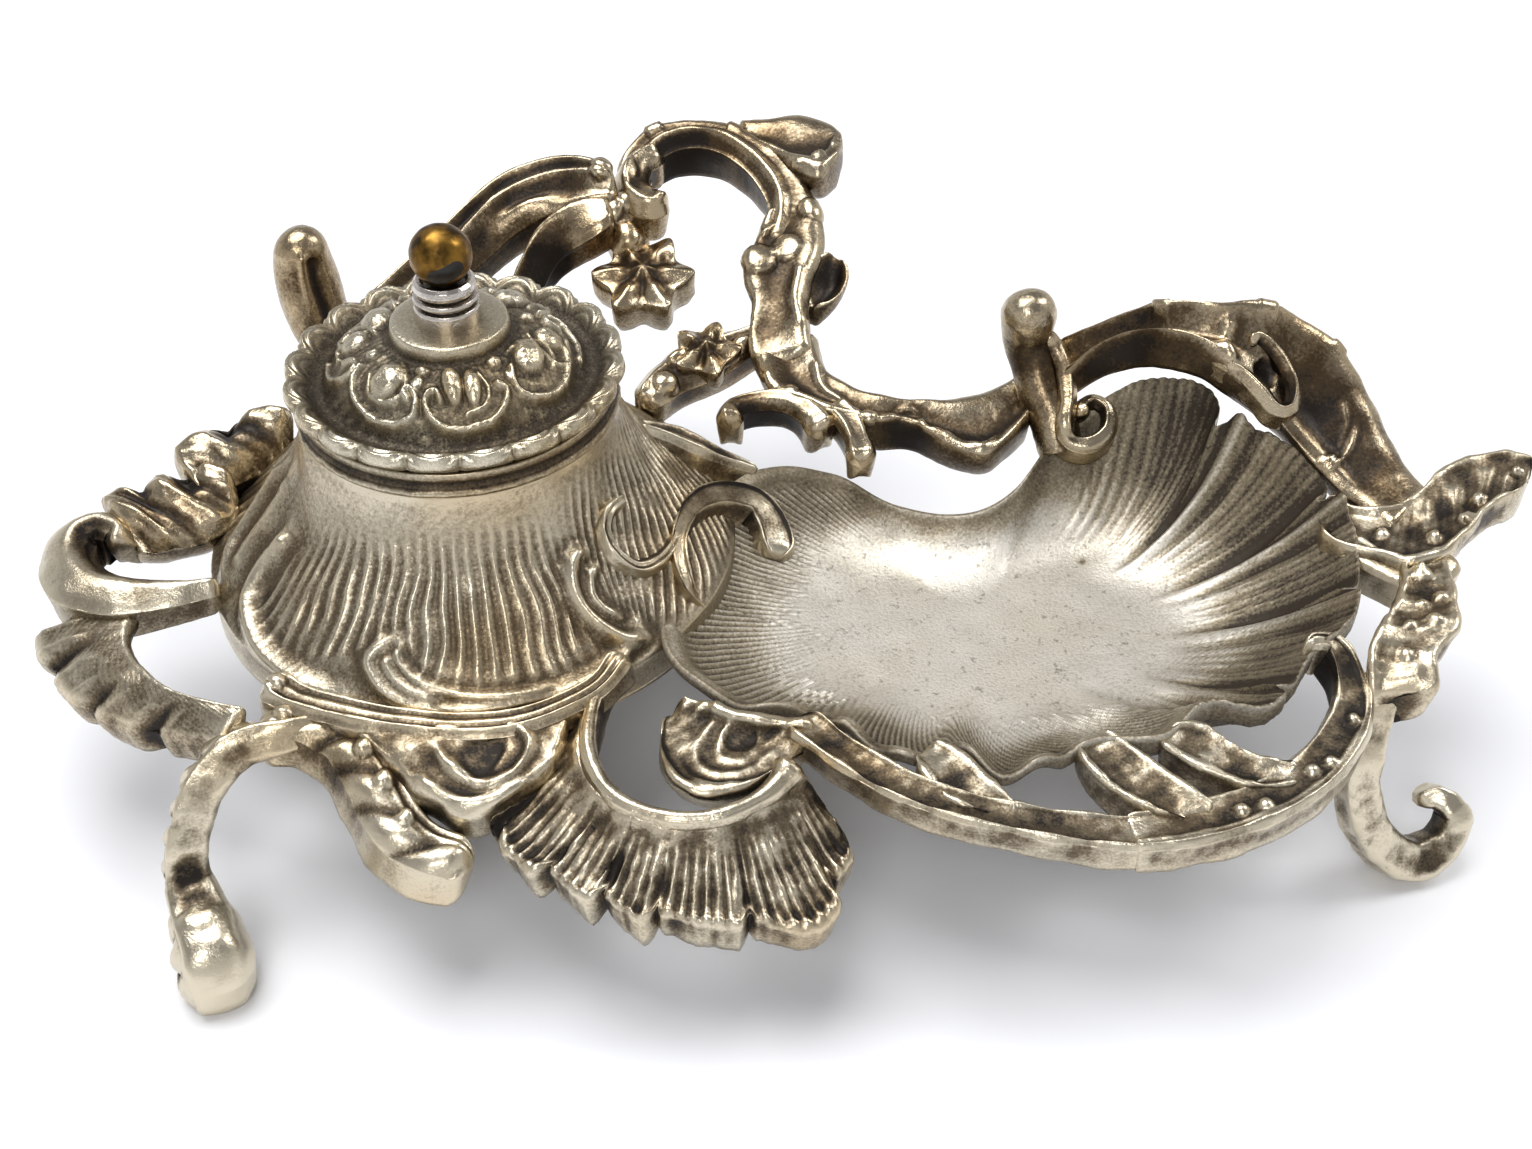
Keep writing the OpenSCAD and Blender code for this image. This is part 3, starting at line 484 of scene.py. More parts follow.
# ===== Lid =====
# A loose cast lid: a scalloped rim, a hollow band, then a dome with oval bosses framed by
# C-scrolls and pairs of eggs between them, round a plain disc under the finial.
LID_Z = 65.5
lid_profile = [(25.7, 0.9), (26.1, 1.5), (26.1, 2.6), (25.5, 3.3), (24.2, 3.1), (22.4, 1.7),
               (20.8, 1.5), (19.4, 2.7), (17.6, 5), (14.8, 7), (11.5, 8.4), (9.6, 8.9),
               (9.3, 9.9), (9.1, 10.9), (8.6, 11.5), (5, 11.6), (0.4, 11.6)]
lid_underside = [(25.3, 1.0), (23.6, 0.7), (22.6, 0), (18, 0), (17, 0.2), (15.6, 3), (12, 5.2),
                 (8, 6.4), (0.4, 6.4)]
RIM_LOBES = 20

# The lid's finer casting: paler, with grit held in a matt ground and silver on the bosses.
lid_casting = worn_casting("worn_silver_plated_fine_casting", "D0C8B4", "857B68", "30281D",
                           "EAD9BA", (0.50, 0.27), grit_mm=0.35, blotch_mm=5.0)

# Bosses: angle, radius, half length along the radius, half width, height and tilt.
lid_bosses = [(-125, 13.9, 3.0, 2.7, 1.9, 0), (-82, 13.1, 3.2, 1.6, 1.7, 8),
              (-70, 13.8, 3.0, 1.4, 1.5, -6), (-22, 13.3, 2.5, 3.3, 1.8, 20),
              (-178, 14.9, 2.3, 2.3, 1.6, 0), (-105, 10.9, 1.0, 1.3, 0.9, 0),
              (-105, 13.4, 1.6, 1.0, 1.0, 0), (-47, 10.9, 1.4, 1.2, 0.9, 0),
              (-45, 14.4, 1.2, 0.9, 0.9, 0), (-155, 12.4, 1.1, 1.0, 0.8, 0)]
# Raised lines: angle and radius of their points, then half width and height.
lid_lines = [
    ([(-107, 15.8), (-111, 15.0), (-108, 14.1), (-102, 15.9), (-103, 17.9), (-111, 18.9),
      (-123, 19), (-136, 18.2), (-146, 16.6), (-150, 14.7)], 0.55, 1.2),
    ([(-89, 15.4), (-92, 14.2), (-96, 14.6), (-97, 16.1), (-92, 18), (-84, 18.9), (-74, 19),
      (-64, 18.7), (-56, 17.4), (-52, 15.8), (-55, 14.6)], 0.55, 1.2),
    ([(-40, 13.1), (-46, 15.9), (-42, 17.9), (-31, 18.9), (-17, 18.9), (-5, 18), (1, 16.5),
      (-2, 14.3)], 0.55, 1.1),
    ([(-178, 19.6), (-165, 19.3), (-154, 17.8), (-151.5, 15.7), (-159, 15.1), (-163, 16.6)],
     0.5, 1.1),
    ([(-171, 17.5), (-186, 18.3), (-195, 16.8), (-190, 13.5), (-182, 11.8)], 0.45, 0.8),
    ([(-125, 10.6), (-114, 12.6), (-112, 15.3), (-120, 16.9), (-131, 16.6), (-139, 14.5)],
     0.4, 0.7),
    ([(-76, 17.6), (-66, 16.9), (-61, 14.8), (-63, 12)], 0.4, 0.6),
    ([(-30, 10.8), (-14, 11), (-6, 12.8), (-8, 15.6), (-18, 17)], 0.4, 0.7)]


def lid_ornament(flat):
    """Height over the dome at places measured from the lid's axis: the tallest of the bosses,
    which are half ellipsoids, and of the raised lines, whose height falls off as a bell curve.
    Both repeat at half a turn."""
    h = 0 * flat[..., 0]
    for half in (0, 180):
        for angle, radius, length, width, tall, tilt in lid_bosses:
            mid = math.radians(angle + half)
            a = mid + math.radians(tilt)
            d = flat - (radius * math.cos(mid), radius * math.sin(mid))
            u = (d @ np.array([math.cos(a), math.sin(a)])) / length
            v = (d @ np.array([-math.sin(a), math.cos(a)])) / width
            h = np.maximum(h, tall * np.sqrt(np.clip(1 - u * u - v * v, 0, 1)))
        for line, width, tall in lid_lines:
            turned_line = through([(q * math.cos(math.radians(s + half)),
                                    q * math.sin(math.radians(s + half))) for s, q in line], 5)
            d, _ = near(flat, turned_line)
            h = np.maximum(h, tall * bump(d, width))
    return h


def lid():
    """Grid of outline by angle. The rim swells and shrinks with a cosine of the angle, and each
    swelling carries rings round its own root like a shell. The dome carries the ornament."""
    _, top = evenly(through(lid_profile, 8), 0.27)
    _, low = evenly(np.c_[lid_underside, np.zeros(len(lid_underside))], 1.0)
    outline = np.vstack([low[::-1, :2], top])
    turn = np.linspace(-math.pi, math.pi, 640, endpoint=False)[None]
    r, z = outline[:, :1], outline[:, 1:]
    is_top = (np.arange(len(outline)) >= len(low))[:, None]
    swing = turn * RIM_LOBES / 2
    lobe = np.abs(np.cos(swing)) ** 0.55
    rim = step(r, 21.5, 24.5) * is_top
    rr = r + rim * (1.1 * lobe - 0.7) * step(r, 22, 25.5)
    across = np.arctan(np.tan(swing)) / (RIM_LOBES / 2) * r
    root = np.hypot(across, (r - 21.2) * 1.1)
    rings = 0.20 * np.cos(2 * math.pi * root / 1.25) * step(root, 0.6, 1.4)
    fan = rim * (1.1 * (lobe - 0.4) * bump(r - 24.9, 1.8) + rings * step(z, 1.4, 2.4))
    x, y = r * np.cos(turn), r * np.sin(turn)
    dome = step(r, 9.9, 10.4) * (1 - step(r, 20.2, 21.2))
    place = np.stack([x, y, z + 0 * x], -1)
    ground = 0.10 * lumps(place, 2.6) * dome + 0.06 * lumps(place, 1.1) * (0.2 + 0.8 * dome)
    h = np.maximum(lid_ornament(np.stack([x, y], -1)) * dome, fan)
    h = np.where(is_top, h + ground, 0)
    # the relief stands up from the dome, and leans out a little
    lift = z + h * 0.93
    rr = rr + 0.30 * h * step(r, 9.9, 10.4)
    p = np.stack([WELL[0] + rr * np.cos(turn), WELL[1] + rr * np.sin(turn), LID_Z + lift], -1)
    tone = 0.12 * bump(r - 21.4, 1.8) - 0.13 * dome + 0.15 * (h > 0.55) - 0.10 * rim
    # the lid's underside is painted in shade
    return p, np.where(is_top, tone, -0.3)


lid_points, lid_tone = lid()
skin("lid", lid_points, lid_casting, tone=lid_tone, depth=0.75, body="lid", slot="silvered_lid")

# A turned ring cast under the lid centres it in the pot's mouth.
turned("lid_ring", [(17, 62), (18.1, 62), (18.1, LID_Z), (17, LID_Z)], lid_casting,
       "silvered_lid", body="lid")

# ===== Finial =====
# A turned and polished nickel collar with two beads, a brass ball under brown lacquer with a
# black chip in front, and the steel stud and brass nut that clamp them to the lid.

# Polished nickel mirrors the room in rings; fine turning marks stretch each glint.
nickel = worn_casting("turned_polished_nickel", "CFC9C2", "6C645C", "1E1A17", "EFE8DE",
                      (0.36, 0.22), grit_mm=0.6, blotch_mm=9.0)
collar_outline = [(0.4, 77), (5.1, 77), (5.1, 79.5), (4.9, 79.9), (4.0, 80.0), (4.0, 80.4),
                  (4.9, 80.7), (5.1, 81.1), (4.9, 81.5), (3.9, 81.8), (3.9, 82.1), (4.8, 82.4),
                  (4.9, 82.9), (4.7, 83.7), (4.2, 84.2), (3.7, 84.1), (3.2, 83.3), (0.4, 83.2)]
turned("finial_collar", collar_outline, nickel, "nickel_collar", body="lid", gap=0.09,
       wrap=False, tone=-0.06)


def aged_brass():
    """Brass under brown lacquer: a noise thins the lacquer to brighter brass in patches, and where
    the wear attribute is low, with an edge made ragged by a finer noise, it is chipped black."""
    made = bpy.data.materials.new("aged_brass")
    made.use_nodes = True
    t = made.node_tree
    shader = t.nodes["Principled BSDF"]
    place = add(t, "ShaderNodeTexCoord").outputs["Object"]
    noise = add(t, "ShaderNodeTexNoise", {"Vector": place, "Scale": 420.0, "Detail": 4.0})
    fine = add(t, "ShaderNodeTexNoise", {"Vector": place, "Scale": 1500.0, "Detail": 2.0})
    ramp = add(t, "ShaderNodeValToRGB", {0: noise.outputs["Fac"]})
    ramp.color_ramp.elements[0].position = 0.36
    ramp.color_ramp.elements[0].color = linear("3A2B16")
    ramp.color_ramp.elements[1].position = 0.62
    ramp.color_ramp.elements[1].color = linear("8E6B30")
    black = add(t, "ShaderNodeAttribute", attribute_name="wear_and_shade").outputs["Fac"]
    edge = add(t, "ShaderNodeMath", {0: fine.outputs["Fac"], 1: 0.5, 2: black},
               operation="MULTIPLY_ADD")
    chip = add(t, "ShaderNodeMapRange", {0: edge.outputs[0], 1: 0.22, 2: 0.30, 3: 1.0, 4: 0.0})
    mixed = add(t, "ShaderNodeMix", {0: chip.outputs[0], 6: ramp.outputs[0],
                                     7: linear("15110E")}, data_type="RGBA")
    t.links.new(mixed.outputs[2], shader.inputs["Base Color"])
    metal = add(t, "ShaderNodeMapRange", {0: chip.outputs[0], 3: 1.0, 4: 0.1})
    t.links.new(metal.outputs[0], shader.inputs["Metallic"])
    gloss = add(t, "ShaderNodeMapRange",
                {0: noise.outputs["Fac"], 1: 0.3, 2: 0.7, 3: 0.46, 4: 0.28})
    t.links.new(gloss.outputs[0], shader.inputs["Roughness"])
    return made


brass = aged_brass()
BALL_AT, BALL_RADIUS = np.array([WELL[0], WELL[1], 88]), 4.75
rise = np.linspace(-1.545, 1.545, 70)[:, None]
swing = np.linspace(-math.pi, math.pi, 120, endpoint=False)[None]
ball_way = np.stack([np.cos(rise) * np.cos(swing), np.cos(rise) * np.sin(swing),
                     np.sin(rise) + 0 * swing], -1)
ball_points = BALL_AT + ball_way * (BALL_RADIUS + 0.03 * lumps(ball_way, 0.5))[..., None]
ball = skin("finial_ball", ball_points, brass, body="lid", slot="ball_brass")
# The ball's wear is its lacquer instead: low in a band across its front, where it is chipped.
chip_at = unit(np.array([0.34, -0.90, -0.22]))
chip_line = np.array([chip_at + (-0.34, 0.02, -0.10), chip_at + (0.30, 0.0, 0.14)])
chip_off, _ = near(ball_way, chip_line)
lacquer = np.r_[(step(chip_off, 0.26, 0.46) - 0.28).ravel(), 0.7, 0.7]
ball.data.attributes["wear_and_shade"].data.foreach_set("value", lacquer)

# Bright steel stud with its turned marks, and a small brass nut, both out of sight inside.
steel = worn_casting("bright_turned_steel", "C9C8C6", "8E8C89", "3B3836", "E8E2DA", (0.5, 0.3))
finish_node("finial_screw", steel)
finish_node("finial_nut", brass)

# ===== Shell tray =====
# The pen tray, a cast shell whose middle is worn smooth and pale. Short combed grooves run in
# from its rim, and its right side opens in four stepped lobes with swirling flutes.
SHELL = np.array([30.0, -18.0])
TRAY_FLOOR = 25.0
SHELL_WALL = 2.6
# The bearings in degrees between which the four stepped lobes lie, and how tall each is.
LOBE_EDGES = np.array([-62, -34, -8, 13.5, 35, 62])
LOBE_SHARES = np.array([0.6, 1.0, 1.35, 1.5, 1.2])
# By the bearing: the share of the way to the rim at which the combed grooves begin.
comb_starts = [[-180, -150, -110, -52, 66, 90, 180], [0.52, 0.55, 0.54, 0.56, 0.7, 0.78, 0.58]]
shell_rim = [
    (85, -33, 42), (89, -16, 43), (86, -1, 46), (74, 10, 48), (70, 18, 50), (57, 19.5, 48),
    (45.5, 15.5, 41), (38, 8.5, 34.5), (30, 5.5, 31.5), (18, 6.5, 32), (6, 11.5, 35.5), (-7, 9, 38),
    (-17, -5, 38), (-21, -22, 37), (-20, -36, 36), (-9, -46, 35), (2, -47, 34.5), (15, -56, 34),
    (22, -53, 34), (30, -59.5, 35), (43, -54, 36), (53, -54, 37), (60, -48, 37.5), (70, -49, 38),
    (77, -40, 40)]

# The tray's plate is rubbed almost bare and pale in the middle, browner towards the rim.
tray_silver = worn_casting("rubbed_silver_plate", "E0DBD0", "8C816C", "352C21", "EFE2C8",
                           (0.60, 0.44), grit_mm=0.5, blotch_mm=6.0, metal=(0.45, 0.76),
                           clouds=(0.30, 0.25), specks=0.45)


def dish(s, angle, rim_z):
    """Height of the tray at a share s of the way out to a rim: flat in the middle, then it climbs
    with 0.08 s2 + 0.92 t to the 2.5, where t runs from the flat's edge to the rim. The flat is
    smaller towards the back."""
    flat_to = 0.42 - 0.17 * bump(angle - 97, 40)
    t = np.clip((s - flat_to) / (1 - flat_to), 0, 1)
    return TRAY_FLOOR + (rim_z - TRAY_FLOOR) * (0.08 * s * s + 0.92 * t ** 2.5)


def shell_lobes(s, angle, right):
    """Relief of the right side: a sawtooth of the bearing for the lobes and, on it, a cosine for
    the flutes. Both close in on one bearing as they run in from the rim. With the height come the
    share of the way across each lobe and the leaning bearing."""
    lean = 14 + (angle - 14) * (1 + right * (0.62 * (1 - s)) * (1 - step(angle, 36, 56)))
    lean = lean + right * 1.4 * np.sin(7 * s + 0.06 * angle)
    k = np.clip(np.searchsorted(LOBE_EDGES, lean) - 1, 0, len(LOBE_EDGES) - 2)
    share = np.clip((lean - LOBE_EDGES[k]) / (LOBE_EDGES[k + 1] - LOBE_EDGES[k]), 0, 1)
    lobe = (2.2 * share ** 1.3 * (1 - step(share, 0.88, 1)) + 1.0 * np.sin(math.pi * share) - 1.5
            + 0.5 * bump(share - 0.86, 0.05) - 0.5 * bump(share - 0.72, 0.07))
    uneven = lumps(np.stack([lean, 3 * s, 0 * s], -1), 9)
    fine = np.abs(np.cos(math.radians(180) * lean / 1.5 + 0.9 * uneven)) ** 0.7
    coarse = np.cos(math.radians(360) * lean / 4.4 + 2.2 * uneven)
    h = right * step(s, 0.50, 0.88) * lobe * LOBE_SHARES[k]
    return h + right * step(s, 0.54, 0.70) * (0.34 * fine + 0.10 * coarse), share, lean


def shell_comb(s, angle, right):
    """Relief of the combed grooves elsewhere: a cosine of the bearing, from a ragged line that is
    a share of the way out, up to just inside the rim. The tray's back is left plain."""
    plain = step(angle, 50, 58) * (1 - step(angle, 122, 136))
    comb = (1 - right) * (1 - plain) * np.cos(math.radians(360) * (angle + 30 * (1 - s)) / 1.75)
    comb = comb * (1 - 0.9 * bump(angle + 135, 6))
    ragged = 0.03 * np.sin(angle * 0.9) + 0.02 * np.sin(angle * 2.3 + 1)
    start = np.interp(angle, *comb_starts)
    return 0.30 * comb * step(s, start + ragged, start + 0.08 + ragged) * (1 - step(s, 0.90, 0.95))


def shell():
    """Square grid bent to a disc (u times the root of 1 - v2/2, and the same the other way), then
    stretched so that its edge is the rim's outline, dished, and given the lobes, the comb and a
    bead inside the rim."""
    closed = through(shell_rim[-2:] + shell_rim + shell_rim[:3], 12)[24:-24]
    bearing = np.unwrap(np.arctan2(closed[:, 1] - SHELL[1], closed[:, 0] - SHELL[0]))
    order = np.argsort(bearing)
    g = np.linspace(-1, 1, 272)
    g = g + 0.16 * g * (1 - g * g)
    u, v = g[:, None] + 0 * g, g[None] + 0 * g[:, None]
    x, y = u * np.sqrt(1 - v * v / 2), v * np.sqrt(1 - u * u / 2)
    s = np.clip(np.hypot(x, y), 0, 1)
    turn = np.arctan2(y, x)
    wrapped = (turn - bearing[order][0]) % (2 * math.pi) + bearing[order][0]
    rim = np.stack([np.interp(wrapped, bearing[order], closed[order, k]) for k in range(3)], -1)
    angle = np.degrees(turn)
    right = step(angle, -52, -42) * (1 - step(angle, 50, 58))
    front = step(-angle, 70, 78) * (1 - step(-angle, 140, 150))
    behind = bump(angle - 97, 40)
    h, share, lean = shell_lobes(s, angle, right)
    h = h + shell_comb(s, angle, right)
    bead = step(-angle, 95, 110) * (1 - step(-angle, 165, 178))
    h = h + (0.5 + 0.6 * bead) * bump(s - 0.97, 0.022 + 0.012 * bead) * (1 - 0.6 * right)
    xy = SHELL + (rim[..., :2] - SHELL) * s[..., None]
    # the rim is wavy in front and notched between the lobes
    wave = front * step(s, 0.8, 1) * np.cos(math.radians(360) * angle / 14)
    notch = right * step(s, 0.7, 1) * (bump(share, 0.05) + bump(share - 1, 0.05)) * (lean < 40)
    xy = SHELL + (xy - SHELL) * (1 - 0.05 * notch)[..., None]
    top = np.concatenate([xy, (dish(s, angle, rim[..., 2]) + h + wave)[..., None]], -1)
    top[..., 2] += (0.03 + 0.08 * step(s, 0.5, 0.8)) * lumps(top, 8)
    # rubbed pale in the middle, browner towards the rim, on the lobes and in front; painted
    # shade in the valleys between the lobes, and a painted shadow spot under the gallery's curl
    tone = 0.50 * (1 - step(s + 0.03 * lumps(top, 14), 0.54 + 0.22 * behind, 0.82 + 0.16 * behind))
    tone = tone - 0.6 * bump(np.hypot(top[..., 0] - 49.4, top[..., 1] + 0.7), 0.8)
    # painted shade in the valleys between the lobes
    groove = bump(share - 0.02, 0.10) + bump(share - 1, 0.05)
    tone = (tone - 0.05 * step(s, 0.6, 0.9)
            - right * step(s, 0.50, 0.88) * (0.14 + 0.36 * groove)
            - 0.12 * front * step(s, 0.6, 0.85))
    return top, tone


def closed_shell(top, tone):
    """Adds the rim and the underside to the tray's square grid: its border, read round as one
    ring, is rounded over, dropped by the wall and drawn in to the middle underneath."""
    n = top.shape[0]
    ids = np.arange(n * n).reshape(n, n)
    ring = np.r_[ids[:-1, 0], ids[-1, :-1], ids[:0:-1, -1], ids[0, :0:-1]]
    border = top.reshape(-1, 3)[ring]
    centre = np.r_[SHELL, TRAY_FLOOR]
    away = unit((border - centre) * (1, 1, 0))
    angle = np.degrees(np.arctan2(away[:, 1], away[:, 0]))
    # the rim is deeper on the right
    deep = (0.75 * step(angle, -85, -65) * (1 - step(angle, 30, 45)))[:, None]
    rounds = [border + away * out - (deep * more + down) * (0, 0, 1)
              for out, down, more in ((0.35, 0.3, 0), (0.45, 0.9, 1), (0.30, 1.9, 2),
                                      (-0.1, SHELL_WALL, 2.6))]
    for s in (0.95, 0.88, 0.8, 0.7, 0.6, 0.5, 0.35, 0.18, 0.02):
        low = centre + (border - centre) * s
        low[:, 2] = dish(s, angle, border[:, 2]) - SHELL_WALL
        rounds.append(low)
    m = len(ring)
    points = np.vstack([top.reshape(-1, 3)] + rounds + [centre - (0, 0, SHELL_WALL)])
    quads = [np.stack([ids[:-1, :-1], ids[1:, :-1], ids[1:, 1:], ids[:-1, 1:]], -1).reshape(-1, 4)]
    held = ring
    for k in range(len(rounds)):
        after = n * n + k * m + np.arange(m)
        quads.append(np.stack([held, after, np.roll(after, -1), np.roll(held, -1)], 1))
        held = after
    tris = np.stack([held, np.full(m, len(points) - 1), np.roll(held, -1)], 1)
    wrap = (False, False)
    normal = outward(top, wrap)
    normal = normal * np.where(normal[..., 2:] < 0, -1, 1)
    wear_and_shade = PLAIN_WEAR + tone
    for reach, gain, full in ((2, 0.16, 0.10), (6, 0.24, 0.5)):
        wear_and_shade = wear_and_shade + gain * np.tanh(proud(top, normal, (reach, reach), wrap) / full)
    # bright on the rounded edge, where it is rubbed, and painted shade underneath
    below = [0.75, 0.45, 0.2] + [0.12] * (len(rounds) - 3)
    wear_and_shade = np.r_[wear_and_shade.ravel(), np.repeat(below, m), 0.1]
    return points, np.vstack(quads).tolist() + tris.tolist(), wear_and_shade


tray_points, tray_faces, tray_wear_and_shade = closed_shell(*shell())
# Where the tray runs into the bell, it stops a millimetre short of the bell's outer side.
bell_z = [29, 35, 37.6, 41, 45, 61.5]
bell_r = [43, 43, 40.6, 37, 33, 25]
from_axis = np.hypot(tray_points[:, 0] - WELL[0], tray_points[:, 1] - WELL[1])
stop = np.interp(tray_points[:, 2], bell_z, bell_r) - 1.0
pull = np.where(from_axis < stop, stop / np.maximum(from_axis, 1), 1)
tray_points[:, :2] = WELL + (tray_points[:, :2] - WELL) * pull[:, None]
piece("shell_tray", tray_points, tray_faces, tray_wear_and_shade, tray_silver)

# ===== Scrolls between the well and the tray =====
# C-scrolls cast in half relief: the big volute that curls over the tray's left end, the small
# comma on the bell's flank, and the ridge that carries the leaves behind the tray.
UP = (0, 0, 1)


def section(spread):
    """Closed outline of a scroll, as shares of its width and depth; the share across its face at
    each point, -1 to 1; and how far the face's relief holds there, 1 on the face and down to 0
    at the walls' foot. Each wall leans out by the spread and the underside is slightly hollow."""
    t = np.sin(np.linspace(math.pi / 2, -math.pi / 2, 34))
    top = np.stack([t * 0.5, -0.20 * np.abs(t) ** 2.6 + 0.06 * (1 - t * t)], 1)
    w = np.linspace(0, 1, 10)[1:]
    left = np.stack([-0.5 - spread * w, -0.20 - 0.8 * w], 1)
    b = np.linspace(-1, 1, 7)[1:-1]
    base = np.stack([b * (0.5 + spread), -1 + 0.12 * (1 - b * b)], 1)
    right = left[::-1] * (-1, 1)
    ring = np.vstack([top, left, base, right])
    across = np.r_[t, np.full(len(left), -1.0), np.zeros(len(base)), np.full(len(right), 1.0)]
    hold = np.r_[np.ones(len(t)), 1 - w, np.zeros(len(base)), (1 - w)[::-1]]
    return soften(ring, 1, 0, True), across, hold


def carved(t, s, length, look):
    """Height in mm of a scroll's cast face at share t across and length s along, as the sum of
    what its look names: a channel (depth), a bead along each edge (height), crests (offset, height
    and width of each), ridges (count and height), cells across it (pitch, height, and the offsets
    between which they lie) and knobs (place along, offset, size and height of each)."""
    h = -look.get("channel", 0) * np.clip(1 - (t / 0.74) ** 2, 0, 1) ** 0.8
    h = h + look.get("rims", 0) * bump(np.abs(t) - 0.84, 0.13)
    for at, tall, wide in look.get("crests", ()):
        h = h + tall * bump(t - at, wide)
    if "ridges" in look:
        count, tall = look["ridges"]
        h = h + tall * np.cos(math.pi * count * t) * np.clip(1.1 - np.abs(t), 0, 1)
    if "cells" in look:
        pitch, tall, low, high = look["cells"]
        wave = tall * (np.abs(np.sin(math.pi * s / pitch + 1.5 * t)) ** 0.7 - 0.7)
        h = h + wave * step(t, low - 0.1, low + 0.1) * (1 - step(t, high - 0.1, high + 0.1))
    for along, at, size, tall in look.get("knobs", ()):
        d = np.hypot((s - along * length) / size, (t - at) / (size / 4))
        h = h + tall * np.sqrt(np.clip(1 - d * d, 0, 1))
    return h


def with_lines(p, n, lines=(), dots=(), flat=False):
    """Grid moved out along its normals by a rounded rib, or in by a groove, round each line of
    points in mm: its height falls off as a bell curve of the distance, which leaves out the
    height when flat. A dot is a half ellipsoid round its place, with a radius and a height."""
    for points, width, tall in lines:
        seen = (1, 1, 0) if flat else (1, 1, 1)
        d, along = near(p * seen, through(points, 6) * seen)
        ends = np.clip(np.minimum(along, 1 - along) * 10 + 0.3, 0, 1)
        ends = ends * (step(n[..., 2], 0.1, 0.5) if flat else 1)
        p = p + n * (tall * ends * bump(d, width))[..., None]
    for x, y, z, radius, tall in dots:
        d = np.linalg.norm(p - (x, y, z), axis=-1) / radius
        p = p + n * (tall * np.sqrt(np.clip(1 - d * d, 0, 1)) * step(1 - d, 0, 0.12))[..., None]
    return p


def round_end(d, size):
    """Share of full width at a distance from an end: a quarter circle of that size, and 1
    beyond it."""
    return np.sqrt(np.clip(1 - (1 - np.clip(d / size, 0, 1)) ** 2, 0.0004, 1))


def shaded(lying, walls, low=-0.2, high=0.75):
    """Tone by how much a surface lies face up, a smooth ramp from low to high: from the tone of
    the walls, partly grime and partly painted shade, to that of the face, and painted shade again
    underneath."""
    return walls + (0.02 - walls) * step(lying, low, high) - 0.12 * step(-lying, 0, 0.8)


def scroll(name, stations, face_up=UP, look=None, finish=casting, gap=GRID_MM, eyes=(0, 0),
           rough=1.0, tone=0.0, lines=(), dots=(), walls=-0.24, spread=-0.1, blunt=(1, 1)):
    """Profile carried along a curve through stations of x, y, z, width and depth in mm. Its face
    looks along face_up, its ends are rounded off like a knob, and an eye swells the end."""
    s, line = evenly(through(stations, 14), gap)
    s = s[:, None]
    length = s[-1, 0]
    centre, width, depth = line[:, None, :3], line[:, None, 3], line[:, None, 4]
    ahead = unit(np.gradient(centre, axis=0))
    side = unit(np.cross(ahead, face_up))
    face = np.cross(side, ahead)
    ring, t, hold = section(spread)
    ends = []
    for d, eye, flat in ((s, eyes[0], blunt[0]), (length - s, eyes[1], blunt[1])):
        size = (0.42 + 0.3 * eye) * width * flat
        ends.append(round_end(d, size) * (1 + eye * bump(d - size, size * 1.1)))
    ease = ends[0] * ends[1]
    h = carved(t[None], s, length, look or {}) * hold[None] * np.minimum(ease, 1)
    # the ends close in on a level a little below the face
    level = -0.38
    p = (centre + side * (ring[:, 0] * width * ease)[..., None]
         + face * (((ring[:, 1] - level) * ease + level) * depth + h)[..., None])
    n = outward(p, (False, True))
    p = with_lines(p, n, lines, dots)
    uneven = 0.14 * lumps(p, 8.5) + 0.03 * lumps(p, 2.6)
    p = p + n * (rough * uneven * np.minimum(ease, 1))[..., None]
    # painted shade: walls darker than the face, partly grime as well, and darker again underneath
    shade = shaded(n @ unit(np.array(face_up, float)), walls)
    p[..., 2] = np.maximum(p[..., 2], 0)
    return skin(name, p, finish, tone=shade + tone)


scroll("tray_volute", [(-15, -22.2, 34.2, 2.2, 5), (-17.3, -23.2, 39, 2.4, 5),
                       (-18.8, -19.8, 42, 2.6, 5), (-19.1, -15.2, 43.8, 2.8, 5),
                       (-17.6, -8.7, 43.4, 3.6, 5), (-15.2, -2.7, 41.4, 5.2, 5),
                       (-11.7, 0.9, 39.5, 6, 5), (-7.3, 2.6, 36.9, 6.4, 5),
                       (-4.6, 0.9, 34.3, 6.4, 5), (-3.3, -2.3, 32.2, 5.8, 5),
                       (-3.2, -5.3, 31, 4.8, 5)],
       face_up=(0.3, -0.15, 0.94), look={"rims": 0.8, "channel": 0.5}, eyes=(0, 0.15), gap=0.34,
       spread=0.2)
scroll("well_scroll", [(-27.4, -16.2, 51.6, 2.2, 3.6), (-29.6, -19.8, 52, 2.6, 3.6),
                       (-30, -22.6, 50.2, 2.9, 3.6), (-28.4, -24.7, 47.1, 2.9, 3.6),
                       (-25.1, -24.7, 44.4, 2.9, 3.6), (-22.1, -21.6, 43.3, 2.6, 3.6),
                       (-20, -17.3, 43.3, 2.3, 3.6), (-19.3, -14.2, 43.5, 2, 3.6)],
       face_up=(0.5, -0.4, 0.77), look={"crests": [(0.45, 0.5, 0.3), (-0.5, 0.25, 0.2)]},
       tone=0.06, gap=0.3, spread=0.45)
scroll("leaf_ridge", [(-27, 7.5, 49.5, 3, 5), (-21.4, 8.8, 47, 5.5, 5), (-16.9, 9.1, 44.5, 6, 5),
                      (-12.3, 9.3, 41.5, 4.4, 5), (-6.4, 9.2, 38.4, 2, 4)],
       look={"crests": [(0.6, 0.8, 0.25)], "channel": 1.0, "ridges": (3, 0.2)}, tone=-0.1,
       spread=0.1)

